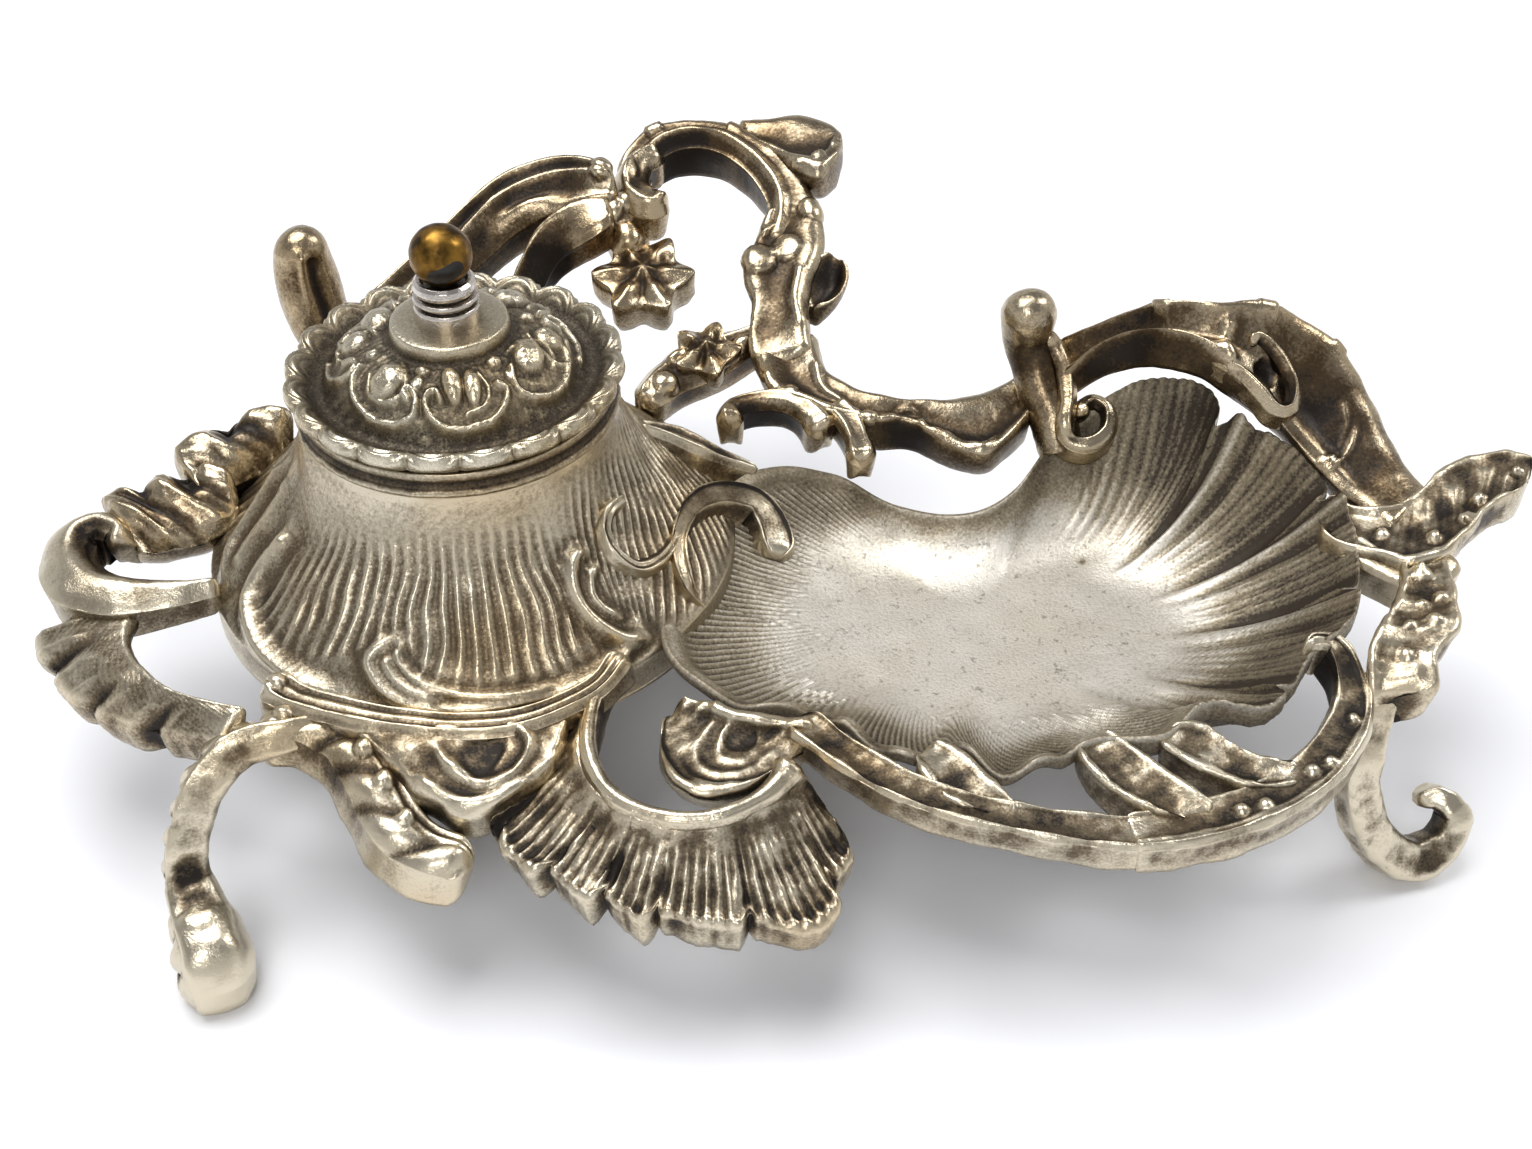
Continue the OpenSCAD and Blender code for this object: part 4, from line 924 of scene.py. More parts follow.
# ===== Front border and panel =====
# The moulding that runs round the bell's foot, and under it the turned-down panel with an oval
# recess and fanned ribs, cast in one with the stand.
scroll("front_moulding", [(-81, -41.5, 36.5, 6, 4), (-76, -45, 36.2, 6, 4), (-68, -48, 36.2, 6, 4),
                          (-60, -50, 36.2, 5.5, 3.6), (-52, -51, 36.2, 5.5, 3.6),
                          (-44, -50.5, 36.2, 5.5, 3.6), (-37, -48, 36.7, 5, 3.6),
                          (-31, -44, 37.4, 4.5, 4), (-27, -38.5, 39, 3.4, 4)],
       look={"crests": [(-0.62, 0.7, 0.16), (0, 0.4, 0.2), (0.6, 0.7, 0.16)]}, eyes=(0.15, 0.25),
       dots=[(-79.6, -42.6, 38, 2.3, 1.1), (-79.6, -42.6, 39.2, 1.0, -1.3)],
       tone=-0.12, spread=0.05, walls=-0.34)


def edges_of(inner, outer, gap):
    """A leaf's two edges as curves with a point for each share of the outer one's length, that
    share, and the leaf's length."""
    a, b = through(inner, 16), through(outer, 16)
    run = max(np.linalg.norm(np.diff(c, axis=0), axis=1).sum() for c in ((a + b) / 2, b))
    share = np.linspace(0, 1, int(run / gap))
    length = np.r_[0, np.cumsum(np.linalg.norm(np.diff(b, axis=0), axis=1))]
    length = length / length[-1]
    a, b = (np.stack([np.interp(share, length, c) for c in edge.T], 1) for edge in (a, b))
    return a, b, share, run


def spread_table(table, share, x):
    """Heights over a grid from a table whose rows are a share of the length and then heights
    across: a Catmull-Rom curve both ways, and straight between its points."""
    rows = through(table, 10)
    heights = through(rows[:, 1:].T, 8).T
    heights = np.stack([np.interp(share, rows[:, 0], c) for c in heights.T], 1)
    at = x * (heights.shape[1] - 1)
    low = np.minimum(at.astype(int), heights.shape[1] - 2)
    return heights[:, low] * (1 - at + low) + heights[:, low + 1] * (at - low)


def leaf(name, inner, outer, wall, crown=1.0, ribs=(9, 0.4), notches=(), cut=2.0, rim=0.6,
         finish=casting, gap=GRID_MM, recess=(), fan=0.0, tone=0.0, rough=1.0, lines=(), dots=(),
         relief=(), edge=0.5, ribbed=0.55, walls=-0.24, saw=0.0, depth=1.0, tuck=0.12, flat=False):
    """Leaf between an inner and an outer edge: its face is ruled across from edge to edge and
    crowned by 4x(1 - x), ribs are a rounded cosine along the leaf that grows outwards, and each
    notch draws the outer edge in by a pointed dip. Relief is a table of heights, its rows a share
    of the length and heights from outer to inner edge. Walls run down from both edges and draw in
    by the tuck times the square of the way down. A saw draws in the start of each lobe."""
    a, b, share, run = edges_of(inner, outer, gap)
    u = share[:, None]
    dip = 0 * u
    for at, wide in notches:
        dip = np.maximum(dip, np.clip(1 - np.abs(u - at) / wide, 0, 1) ** 1.4)
    if saw:
        bounds = np.r_[0, [at for at, _ in notches], 1]
        k = np.clip(np.searchsorted(bounds, u, side="right") - 1, 0, len(bounds) - 2)
        dip = np.maximum(dip, saw * (1 - (u - bounds[k]) / (bounds[k + 1] - bounds[k])) ** 1.3)
    across = np.linalg.norm(a - b, axis=1)
    breadth = across.mean()
    inward = (a - b)[:, None] / np.maximum(across, 1)[:, None, None]
    a, outer_edge = a[:, None], b[:, None] + inward * (dip * cut)[..., None]
    x = np.linspace(0, 1, max(10, int(breadth / gap)))[None]
    # ribs, with finer ones on them, out to where the leaf is no longer ribbed
    count, tall = ribs
    phase = 2 * math.pi * count * (u + fan * (x - 0.5) * 0.1)
    wave = np.sign(np.cos(phase)) * np.abs(np.cos(phase)) ** 0.75
    fades = 1 - step(x, ribbed, ribbed + 0.4)
    h = crown * 4 * x * (1 - x)
    h = h + tall * wave * step(x, 0.0, 0.06) * fades
    h = h + tall * 0.4 * np.cos(phase * 3 + 1) * step(x, 0.05, 0.2) * fades
    # each notch is sunk, with a raised lip on either side, and both edges are beaded
    h = h - 1.5 * dip * (1 - step(x, 0.1, 0.6))
    for at, wide in notches:
        for side in (-1, 1):
            h = h + 0.9 * rim * bump(u - at - side * wide * 0.9, 0.007) * (1 - step(x, 0.35, 0.6))
    h = h + rim * bump(x - 0.07, 0.05) * (1 - 0.5 * dip) + rim * 0.8 * bump(x - 0.93, 0.05)
    if len(relief):
        h = h + spread_table(relief, share, x[0])
    off = np.minimum(x, 1 - x) * breadth
    h = h - edge * (1 - np.sqrt(1 - (1 - np.clip(off / (edge + 0.01), 0, 1)) ** 2))
    for at, x0, long, wide, deep in recess:
        h = h - deep * step(1 - ((u - at) / long) ** 2 - ((x - x0) / wide) ** 2, 0, 0.6)
    top = outer_edge + (a - outer_edge) * x[..., None] + h[..., None] * UP
    # walls down from both edges, the outer one streaked, and a face underneath
    way = np.linspace(0, 1, 10)[None, 1:, None]
    down, drawn = way * (0, 0, -wall), tuck * way ** 2
    inner_wall = a + down + drawn * (outer_edge - a) * (1, 1, 0)
    outer_wall = outer_edge + down + drawn * (a - outer_edge) * (1, 1, 0)
    level = outer_edge * (1, 1, 0)
    streaks = 0.5 * lumps(level, 3.1) + 0.5 * lumps(level, 1.5)
    outer_wall = outer_wall + (tall * 0.8 * streaks)[..., None] * unit((b[:, None] - a) * (1, 1, 0))
    over = tuck + (1 - 2 * tuck) * np.linspace(0, 1, 6)[None, 1:-1, None]
    base = a + (outer_edge - a) * over + (0, 0, -0.9 * wall)
    p = np.concatenate([top, inner_wall, base, outer_wall[:, ::-1]], 1)
    ends = round_end(np.minimum(u, 1 - u) * run, 1.6).clip(0.2)
    middle = p.mean(1, keepdims=True)
    p = soften(middle + (p - middle) * ends[..., None], 1, 1, True)
    n = outward(p, (False, True))
    p = with_lines(p, n, lines, dots, flat)
    p = p + n * (rough * (0.13 * lumps(p, 7) + 0.03 * lumps(p, 2.4)))[..., None]
    # painted shade: walls darker than the face, partly grime as well, and darker again underneath
    return skin(name, p, finish, tone=shaded(n[..., 2], walls, -0.1, 0.7) + tone, depth=depth)


leaf("front_panel",
     [(-74, -44, 34), (-67, -48, 35.5), (-60, -50.5, 36.2), (-50, -51, 36.2), (-42, -50.5, 36),
      (-34, -47, 36)],
     [(-73, -46, 33.5), (-66.5, -51, 34.5), (-60.5, -57, 33.5), (-54, -62, 31.5),
      (-47.5, -64, 30.5), (-36, -56.5, 34)],
     7, crown=0.6, flat=True, ribs=(1, 0), rim=0.3, rough=2.0, tone=-0.12,
     lines=[([(-54, -51, 34.5), (-48.5, -50, 34.5), (-42, -51.5, 34), (-40, -54.5, 33.5),
              (-42.5, -58.5, 32), (-47, -60, 31.5), (-51.5, -57.5, 32.5), (-54, -54.5, 33.5)],
             0.8, 1.1),
            ([(-56, -59, 31), (-51, -62, 30), (-45, -62, 30.5), (-40, -59.5, 31.5)], 0.8, 0.9)],
     recess=[(0.63, 0.62, 0.08, 0.27, 0.5)])

# ===== Bead scroll =====
# The ruffled scroll over the front left leg: a bright raised edge, a row of beads beside it,
# and twisted folds that end in rounded lips.
scroll("bead_scroll", [(-82, -48, 34.5, 7, 7), (-75, -48.5, 34.5, 7, 7), (-68, -51, 33.5, 8, 8),
                       (-63, -57, 31.5, 9, 9), (-59, -63, 29, 9, 9), (-54, -66.5, 27, 8, 8),
                       (-47.5, -68, 26, 6.5, 7)],
       look={"crests": [(-0.75, 0.9, 0.16), (-0.3, 0.4, 0.1)], "cells": (7.4, 1.0, -0.1, 1.3),
             "knobs": [(0.10, -0.15, 1.6, 1.2), (0.26, -0.2, 1.5, 1.2), (0.42, -0.2, 1.6, 1.3),
                       (0.56, -0.2, 1.5, 1.2), (0.72, -0.15, 1.4, 1.0)]},
       eyes=(0, 0.08), spread=0.12)

# ===== Front fan, ring and rocaille =====
# The fan leaf under the ring, ribbed and cut into lobes with thick rough walls; the C-shaped
# ring that stands on it; and the ear-shaped leaf with whorls inside the ring.
leaf("front_fan_leaf",
     [(-32, -47, 35.5), (-32.5, -54, 34.5), (-30.5, -60.5, 34), (-26, -65, 33.5), (-19, -67.5, 33),
      (-12, -67, 33), (-5.5, -63.5, 33.5), (0, -58, 34.5)],
     [(-44.5, -57, 31), (-46, -66, 27), (-41, -70, 25.5), (-33, -74.5, 24.5), (-22, -78.5, 23),
      (-11, -78.5, 22), (3, -77.5, 21), (8, -66, 26)],
     7, crown=-1.4, ribs=(40, 0.24), rim=0.55, cut=4.2, ribbed=0.50, rough=2.2, walls=-0.2,
     saw=0.62, tone=-0.06,
     notches=((0.12, 0.02), (0.26, 0.018), (0.385, 0.02), (0.50, 0.022), (0.69, 0.03),
              (0.90, 0.025)))
scroll("front_c_scroll", [(-27, -37.5, 38.5, 3, 5), (-30, -42.5, 37.5, 3, 7),
                          (-31.5, -49, 36.5, 2.8, 8), (-31, -57, 35.5, 2.8, 8),
                          (-26.5, -64, 34.5, 2.8, 8), (-19, -67, 34, 2.8, 8),
                          (-12, -66.5, 34, 2.8, 8), (-5.5, -63, 34.5, 3, 8),
                          (-1, -57.5, 36, 4.4, 8)],
       look={"rims": 0.35, "channel": 0.15}, eyes=(0.1, 0.3), tone=0.02, walls=-0.36, gap=0.36,
       dots=[(-1.3, -58.5, 37, 1.0, -0.9)])
leaf("front_rocaille",
     [(-18, -44.5, 36), (-14.5, -46, 36), (-11, -47.4, 36), (-7, -48.7, 36), (-2.7, -49, 36),
      (2, -51, 36)],
     [(-21, -47, 33.5), (-21.2, -54.8, 33.4), (-18.8, -61, 33.8), (-13.5, -63.5, 34),
      (-7.4, -61.5, 34.3), (-1.6, -57.2, 34.6)],
     7, crown=-1.2, ribs=(1, 0), rim=0.6, gap=0.36, rough=1.8, tone=-0.06, tuck=0.25,
     lines=[([(-16.4, -44.8, 35), (-19.6, -48.9, 34.6), (-20.2, -54.5, 34.2), (-18.4, -60, 34),
              (-15.4, -62.6, 34)], 0.6, 0.6),
            ([(-14, -46.1, 35.5), (-17.4, -49.4, 35), (-18.2, -55, 34.4), (-16.6, -59.2, 34.2),
              (-13.2, -61.4, 34.2), (-9.1, -61, 34.2)], 0.6, 0.9),
            ([(-13.3, -49.5, 35), (-15.6, -52.9, 34.6), (-15.2, -56.8, 34.2), (-12.3, -59, 34.2),
              (-7.9, -58.2, 34.4), (-3.3, -54.1, 35)], 0.7, 0.9),
            ([(-10.9, -50.3, 35), (-12.4, -53.4, 34.6), (-11.6, -56, 34.4), (-8.8, -56.2, 34.6),
              (-5.1, -53.6, 35), (-1, -50.8, 35.6)], 0.6, 0.8),
            ([(-14, -47.2, 36), (-9.2, -49.4, 35.6), (-3.9, -50.6, 35.6), (1.4, -51, 36)],
             0.9, 1.2)],
     dots=[(-9.2, -52.4, 35, 2.8, -0.5)])

# ===== Front rail and struts =====
# A hollowed rail sweeps round the tray's front to a curled end, with a cast joint where the two
# halves meet, beads along its edges, and three short struts that tie it to the shell.
scroll("front_rail", [(-1, -49, 36.4, 5.5, 5), (6, -56, 36.2, 6.2, 6), (14, -62, 35.7, 6.2, 6),
                      (23, -65.6, 34.8, 6, 6), (33, -67.6, 33.8, 6, 6), (40, -68.6, 33.4, 6.4, 6.4),
                      (48.6, -69.4, 33.2, 6.6, 6.4)],
       look={"channel": 1.3, "rims": 0.4}, eyes=(0.2, 0), blunt=(1, 0.35), tone=-0.1, rough=1.5)
scroll("rail_end_scroll", [(46, -69.3, 33.4, 7.4, 7), (56, -67.8, 33.8, 7.8, 7),
                           (67, -64, 34.8, 7.8, 7), (76, -57.5, 35.8, 7.6, 7),
                           (82, -49, 37.4, 6.6, 8), (83, -42, 39, 5, 8), (81, -38, 41, 4, 7),
                           (77, -38.5, 42, 3, 6)],
       look={"channel": 1.1, "rims": 0.5, "crests": [(0.55, 0.4, 0.12)],
             "knobs": [(0.28, 0.05, 1.2, 1.0), (0.34, 0.2, 1.2, 1.0), (0.50, 0.05, 1.2, 1.1),
                       (0.55, 0.25, 1.1, 1.0), (0.70, 0.1, 1.3, 1.1)]},
       eyes=(0, 0.1), blunt=(0.35, 1), tone=-0.08, rough=1.5)
# all three struts are alike
strut = dict(crown=-1.0, ribs=(1, 0), rim=0.6, walls=-0.4, rough=2.2, tone=-0.14)
leaf("strut_left", [(19.5, -52.5, 35.5), (23.5, -55.3, 35.5), (27, -60, 35), (31.5, -66, 34.5)],
     [(16, -55.5, 35.5), (17.5, -60.5, 35), (21, -64.5, 34.5), (27, -67, 34)], 7,
     lines=[([(18.5, -54, 36), (21.5, -59, 35.5), (27, -65.5, 35)], 0.7, 0.9)], **strut)
leaf("strut_mid", [(44.5, -51.5, 36.5), (49.3, -55.5, 36), (53.6, -60, 35.5), (60, -66, 34.5)],
     [(40, -54.5, 36), (41.5, -59.5, 35.5), (46, -64, 34.5), (53, -67.5, 34)], 7,
     lines=[([(43, -53.5, 36.5), (46.5, -59, 36), (55, -66.5, 35)], 0.7, 0.9),
            ([(45.5, -54.5, 36.5), (50.5, -60, 36), (57.5, -65.5, 35)], 0.5, 0.6)], **strut)
leaf("strut_right", [(54.5, -51.5, 37.5), (59, -51.5, 37.5), (62.5, -54.5, 37), (67, -57.5, 36.5),
                     (73, -57.5, 36)],
     [(52, -55, 36.5), (56, -58.5, 36), (60.5, -61, 35.5), (66, -62.5, 35), (72, -62, 35)], 7,
     lines=[([(54, -53.5, 37.5), (59.5, -56.5, 37), (66, -60, 36), (72, -60, 35.5)], 0.7, 0.9)],
     **strut)

# ===== Right-hand leaf and leg =====
# The beaded leaf that reaches out on the right, the strap under it, and the leg that leaves
# from it in a pointed lobe and curls under in a J.
leaf("right_leaf",
     [(88, -2.5, 43), (91, -7.5, 43.5), (97, -8.5, 44.5), (101.5, -6, 45.5), (106, -1.5, 46.5),
      (111.5, 1, 47.5), (117.5, 2, 48), (122, -0.5, 48)],
     [(83.5, -13.5, 43), (87, -18, 43), (91, -20, 43.5), (95.5, -23, 44), (100.5, -22, 44.5),
      (106, -18, 46), (110.5, -13, 47), (118, -8, 47.5)],
     7, crown=-1.6, ribs=(7, 0.16), rim=0.9, rough=1.6,
     dots=[(110, -9.5, 46, 1.6, 1.5), (107, -14, 45.5, 1.7, 1.5), (101.5, -16.5, 44.5, 1.7, 1.4),
           (88, -10, 42.5, 1.8, 1.4), (118.5, -3, 47.5, 1.7, 1.3), (94, -14, 42.5, 1.3, 0.9)])
scroll("right_bracket", [(88, -15, 43, 6, 7), (93, -20, 42, 6, 7), (98, -23, 42.5, 7, 7),
                         (104, -19, 43.5, 6, 7)],
       look={"channel": 0.5, "crests": [(-0.6, 0.5, 0.2)]})
leaf("right_leg_leaf",
     [(102, -21, 43.5), (102, -26, 44), (101, -32, 44), (100, -37.5, 43.5), (95.5, -42, 42),
      (95, -46.5, 39.5), (89, -46, 36)],
     [(95, -21, 43.5), (93.5, -27, 43.5), (91, -32, 43.5), (87.5, -36.5, 43), (85.5, -40.5, 41.5),
      (85, -44.5, 39), (85.5, -46.5, 36)],
     6, crown=-0.3, ribs=(5, 0.2), rim=0.7, rough=2.0,
     dots=[(97, -25.5, 43, 2.1, 1.3), (97, -25.5, 44, 1.0, 1.4), (98.5, -31, 43.5, 1.3, 0.9),
           (95.5, -32.5, 43, 1.2, 0.9), (96.5, -36, 43, 1.4, 0.9), (92.5, -36.5, 42.5, 1.2, 0.8),
           (91, -41.5, 41, 1.3, 0.8)])


def leg(name, stations, side, look, sole=None, dots=()):
    """Squared bar carried along a curve through stations of x, y, z, width and depth, its flat
    side turned to side. Its section is a superellipse whose outer face carries the look. Over a
    sole it turns level and round, and its last ring is drawn in to the floor."""
    s, line = evenly(through(stations, 14), GRID_MM)
    from_end = (s[-1] - s)[:, None]
    s = s[:, None]
    centre, width, depth = line[:, None, :3], line[:, None, 3], line[:, None, 4]
    side = unit(np.array(side, float))
    ahead = unit(np.gradient(centre, axis=0))
    face = unit(np.cross(side[None, None] + 0 * ahead, ahead))
    ease = round_end(s, 0.5 * width)
    power = 0.55
    if sole is None:
        ease = ease * round_end(from_end, 0.5 * width)
    else:
        level = unit(np.cross(unit(side * (1, 1, 0)), (0, 0, -1.0)))
        blend = step(-from_end, -5.5, 0)[..., None]
        face = unit(face * (1 - blend) + level * blend)
        power = power + 0.37 * step(-from_end, -13, -4)
    flat_side = np.cross(ahead, face)
    a = np.linspace(0, 2 * math.pi, 56, endpoint=False)[None]
    x = np.sign(np.cos(a)) * np.abs(np.cos(a)) ** power * 0.5
    y = np.sign(np.sin(a)) * np.abs(np.sin(a)) ** power * 0.5
    # the outer face is the one away from the direction that face points in
    h = carved(np.clip(2 * x, -1, 1), s, s[-1, 0], look) * step(-y, 0.1, 0.34) * ease
    p = (centre + flat_side * (x * width * ease)[..., None]
         + face * (y * depth * ease - h)[..., None])
    n = outward(p, (False, True))
    p = with_lines(p, n, (), dots)
    p = p + n * ((0.20 * lumps(p, 7) + 0.06 * lumps(p, 2.4)) * ease)[..., None]
    # painted shade: darker where the bar faces down
    low = -0.12 * step(-n[..., 2], 0.1, 0.9)
    if sole is not None:
        rim = (p[-1:] - p[-1].mean(0)) * (1, 1, 0)
        ankle = p[-1, :, 2].mean()
        # share of the last ring's breadth and of its height above the floor
        rings = [sole + rim * broad + (0, 0, ankle * high)
                 for broad, high in ((1, 1), (0.98, 0.6), (0.9, 0.25), (0.74, 0))]
        p = np.concatenate([p[:-1]] + rings, 0)
        low = np.vstack([low] + [low[-1:]] * 3)
    p[..., 2] = np.maximum(p[..., 2], 0)
    return skin(name, p, casting, tone=low - 0.10)


leg("right_leg", [(89, -41.5, 38, 6, 6), (87, -44.5, 32, 6, 6), (85.8, -47.5, 25, 6, 6),
                  (87.3, -48.5, 16, 6.5, 6.5), (91.5, -49, 8, 7, 7), (97.5, -48.5, 3.2, 7, 7),
                  (103, -46.5, 4.5, 6.5, 6), (105, -44, 9, 6, 5), (102, -42.5, 11.5, 5, 4),
                  (98.5, -42.5, 10.5, 4, 3)], (0.12, -0.8, 0.59), {"channel": 0.5})

# ===== Left-hand leaves and scroll =====
# The broad ribbed leaf that spreads to the left, the scroll over it that curls back to an eye,
# and two ruffled leaves behind, all cast in one with the stand.

# The browner, glossier metal of everything behind the well, rubbed bright only on its edges.
gallery_metal = worn_casting("browned_silver_plated_brass", "C0B298", "5C4E3C", "1E1711",
                             "E8D2B2", (0.42, 0.23), grit_mm=0.55, blotch_mm=8.0)

leaf("left_leaf",
     [(-98, -21, 36), (-104, -24, 35.5), (-105, -31, 35), (-100, -38.5, 35), (-93, -43.5, 35),
      (-83, -46.5, 35)],
     [(-110, -25, 35), (-122.5, -26, 32), (-118, -35, 30), (-111, -41, 29), (-101, -45.5, 29),
      (-87, -50.5, 31)],
     6, crown=1.2, ribs=(30, 0.17), rim=0.4, cut=2.2, fan=4.0, ribbed=0.75, saw=0.3, tone=-0.1,
     edge=1.2, tuck=0.2, notches=((0.18, 0.06), (0.36, 0.06), (0.55, 0.06), (0.76, 0.06)))
scroll("left_scroll", [(-93, -20, 37, 3.5, 5), (-100, -22, 37.5, 6, 6), (-109, -22.5, 38, 9, 8),
                       (-115.5, -20, 38.5, 10, 9), (-119, -15, 38.5, 9.5, 9),
                       (-119, -9.5, 39.5, 8, 8), (-115.5, -7.5, 40, 6.5, 8),
                       (-111.5, -9.5, 39.5, 5, 7), (-111.5, -13, 38, 4, 6)],
       look={"crests": [(0.1, 1.0, 0.5), (0.75, 0.3, 0.15)]}, eyes=(0, 0.2), tone=-0.1, walls=-0.4,
       lines=[([(-95, -17.5, 37.5), (-103, -18.5, 38.5), (-110, -18, 38.5), (-114.5, -15, 38.5),
                (-115.5, -11.5, 39)], 0.9, -0.7)])
ruffled = dict(crown=2.2, rim=0.2, cut=2.0, fan=6, ribbed=0.9, edge=2.2, tone=-0.12, tuck=0.3,
               finish=gallery_metal)
leaf("left_rear_leaf", [(-92, -6, 39), (-101, -11, 38), (-109, -12, 38)],
     [(-95, 3, 45), (-107, 0, 45), (-117, -3, 42)], 6, ribs=(2.2, 0.6),
     notches=((0.34, 0.16), (0.68, 0.16)), **ruffled)
leaf("left_back_leaf", [(-87, 8, 42), (-94, 1, 42), (-99, -4, 42)],
     [(-86, 15, 48), (-97, 12, 48), (-106, 4, 46)], 6, ribs=(1.6, 0.6),
     notches=((0.5, 0.2),), **ruffled)

# ===== Front left and rear legs =====
# The front left leg drops from the bead scroll in an S with ribs across its outer face, and
# ends in a lumpy hoof. The two rear legs are plainer and stand under the gallery.
leg("front_left_leg",
    [(-71, -47.5, 32, 4.5, 4), (-77, -49.5, 32, 6.5, 5), (-84, -51, 31, 7, 6),
     (-89, -54.5, 27.5, 7, 6), (-92, -58.5, 21, 6.5, 6), (-93, -61, 14, 7, 6.5),
     (-91, -65, 10.5, 8.4, 8.5), (-88.8, -69.6, 7, 14.5, 11.5), (-88.3, -71, 3.2, 14.5, 11)],
    (0.42, -0.72, 0.55), {"cells": (4.6, 1.5, -1.2, 0.5), "crests": [(0.8, 0.8, 0.14)]},
    sole=(-88.5, -71, 0),
    dots=[(-92.6, -68.3, 9, 1.4, -1.5), (-89.5, -68.8, 12, 3.2, 0.8), (-93, -65, 10.5, 2.2, 0.8),
          (-86.5, -71, 10.5, 2.6, 0.9), (-85.5, -72, 6, 2.4, -0.6), (-90, -75, 6, 2.6, 0.7)])
one_crest = {"crests": [(0, 0.5, 0.4)]}
leg("rear_left_leg", [(-80, 29, 36, 7, 7), (-85, 36, 33, 7, 7), (-85, 41, 24, 6, 6),
                      (-81, 41, 14, 6, 6), (-78, 40, 6, 9, 9), (-78, 40, 2.5, 9, 9)],
    (0.8, 0.6, 0), one_crest, sole=(-78, 40, 0))
leg("rear_right_leg", [(58, 11.5, 31.5, 6, 6), (59, 16.5, 31.5, 7, 7), (59, 21, 27, 6, 6),
                       (57, 25, 17, 6, 6), (55, 27, 6, 9, 9), (55, 27, 2.5, 9, 9)],
    (0.8, -0.6, 0), one_crest, sole=(55, 27, 0))

# ===== Rear bridge =====
# The openwork gallery behind starts as a lobed bridge from the tray, thick-walled and smooth on
# top, with three drooping fronds and a rosette, and rises on a stem to the crest. All of the
# gallery is one pattern, cast thicker and browner than the tray.
GALLERY_UP = (0, -0.3, 0.95)


def gallery(name, stations, **more):
    """A scroll of the leaning gallery, in its browner plate."""
    return scroll(name, stations, face_up=GALLERY_UP, finish=gallery_metal, rough=0.8,
                  walls=-0.44, **more)


def plate(name, inner, outer, wall, **more):
    """A thick plate of the gallery, whose edges are rounded over and whose face is a relief."""
    return leaf(name, inner, outer, wall, crown=0, ribs=(1, 0), rim=0, edge=1.1, rough=0.8,
                finish=gallery_metal, walls=-0.44, depth=0.8, tuck=0.26, **more)


plate("rear_bridge",
      [(4, 34, 50.5), (5.5, 26.5, 48), (11, 22, 46.5), (17, 20.5, 45.5), (23, 20.5, 45),
       (28, 21.5, 45), (32, 23, 45), (36, 25, 45.5), (40.5, 27, 47)],
      [(-8, 31, 49), (-4.5, 21, 47), (4, 16.5, 46), (12, 14, 45), (19, 14.5, 44.5),
       (27.5, 9.4, 43), (32.6, 8.2, 42.6), (37, 12.5, 43), (41.5, 18.5, 44)], 8,
      relief=[(0, -0.2, 0.2, 0, -0.5, -0.8, -0.4, 0.5, 0.8, -0.2),
              (0.3, 0.2, 0.6, 0, -0.5, -0.4, 0.1, 0.5, 0.6, -0.2),
              (0.5, 0.4, 0.2, -0.6, -0.9, -0.6, 0, 0.5, 0.6, -0.2),
              (0.75, 0.4, 0.1, -0.9, -1.3, -0.9, -0.1, 0.5, 0.6, -0.2),
              (1, 0.3, 0.3, -0.5, -0.8, -0.5, 0, 0.4, 0.5, -0.2)],
      lines=[([(12.5, 14.5, 45), (16, 15, 45), (18.5, 17.5, 45), (21, 17, 44.5), (22, 13.5, 44),
               (25.5, 12.5, 43.5), (29, 11.5, 43.5), (31.5, 9.5, 43), (34, 12.5, 43),
               (34.5, 17, 44)], 0.6, 0.7),
             ([(3.5, 27.5, 48.5), (4.5, 21.5, 47), (8, 18.5, 46), (11.5, 14, 45)], 0.8, 0.8),
             ([(-5, 26, 48), (-4.5, 21, 47), (-1.5, 20, 46.5), (2.5, 18, 46.5), (6.5, 15.5, 45.5)],
              0.7, 0.6)],
      dots=[(-3, 31.5, 49.5, 1.6, 1.1), (12.5, 15, 45, 1.5, 1.0), (-0.5, 21, 47, 1.2, 0.5)])
gallery("bridge_leaf", [(-11.5, 14, 45, 4.5, 7), (-11, 18, 45.5, 4, 7), (-7, 19.5, 46, 4, 7),
                        (-1.5, 19, 46.5, 5, 7), (2.5, 16, 45.5, 5, 7), (5, 12, 44, 4.5, 7)],
        look={"crests": [(-0.5, 0.5, 0.3)]}, eyes=(0.15, 0.2))
gallery("bridge_frond", [(6, 19, 46.5, 5, 7), (9, 14.5, 45.5, 5, 7), (10.5, 9.5, 44.5, 4.5, 7),
                         (11, 5, 43.5, 5, 7)],
        look={"crests": [(-0.6, 0.5, 0.25), (0.6, 0.5, 0.25)], "channel": 0.4}, eyes=(0, 0.1))
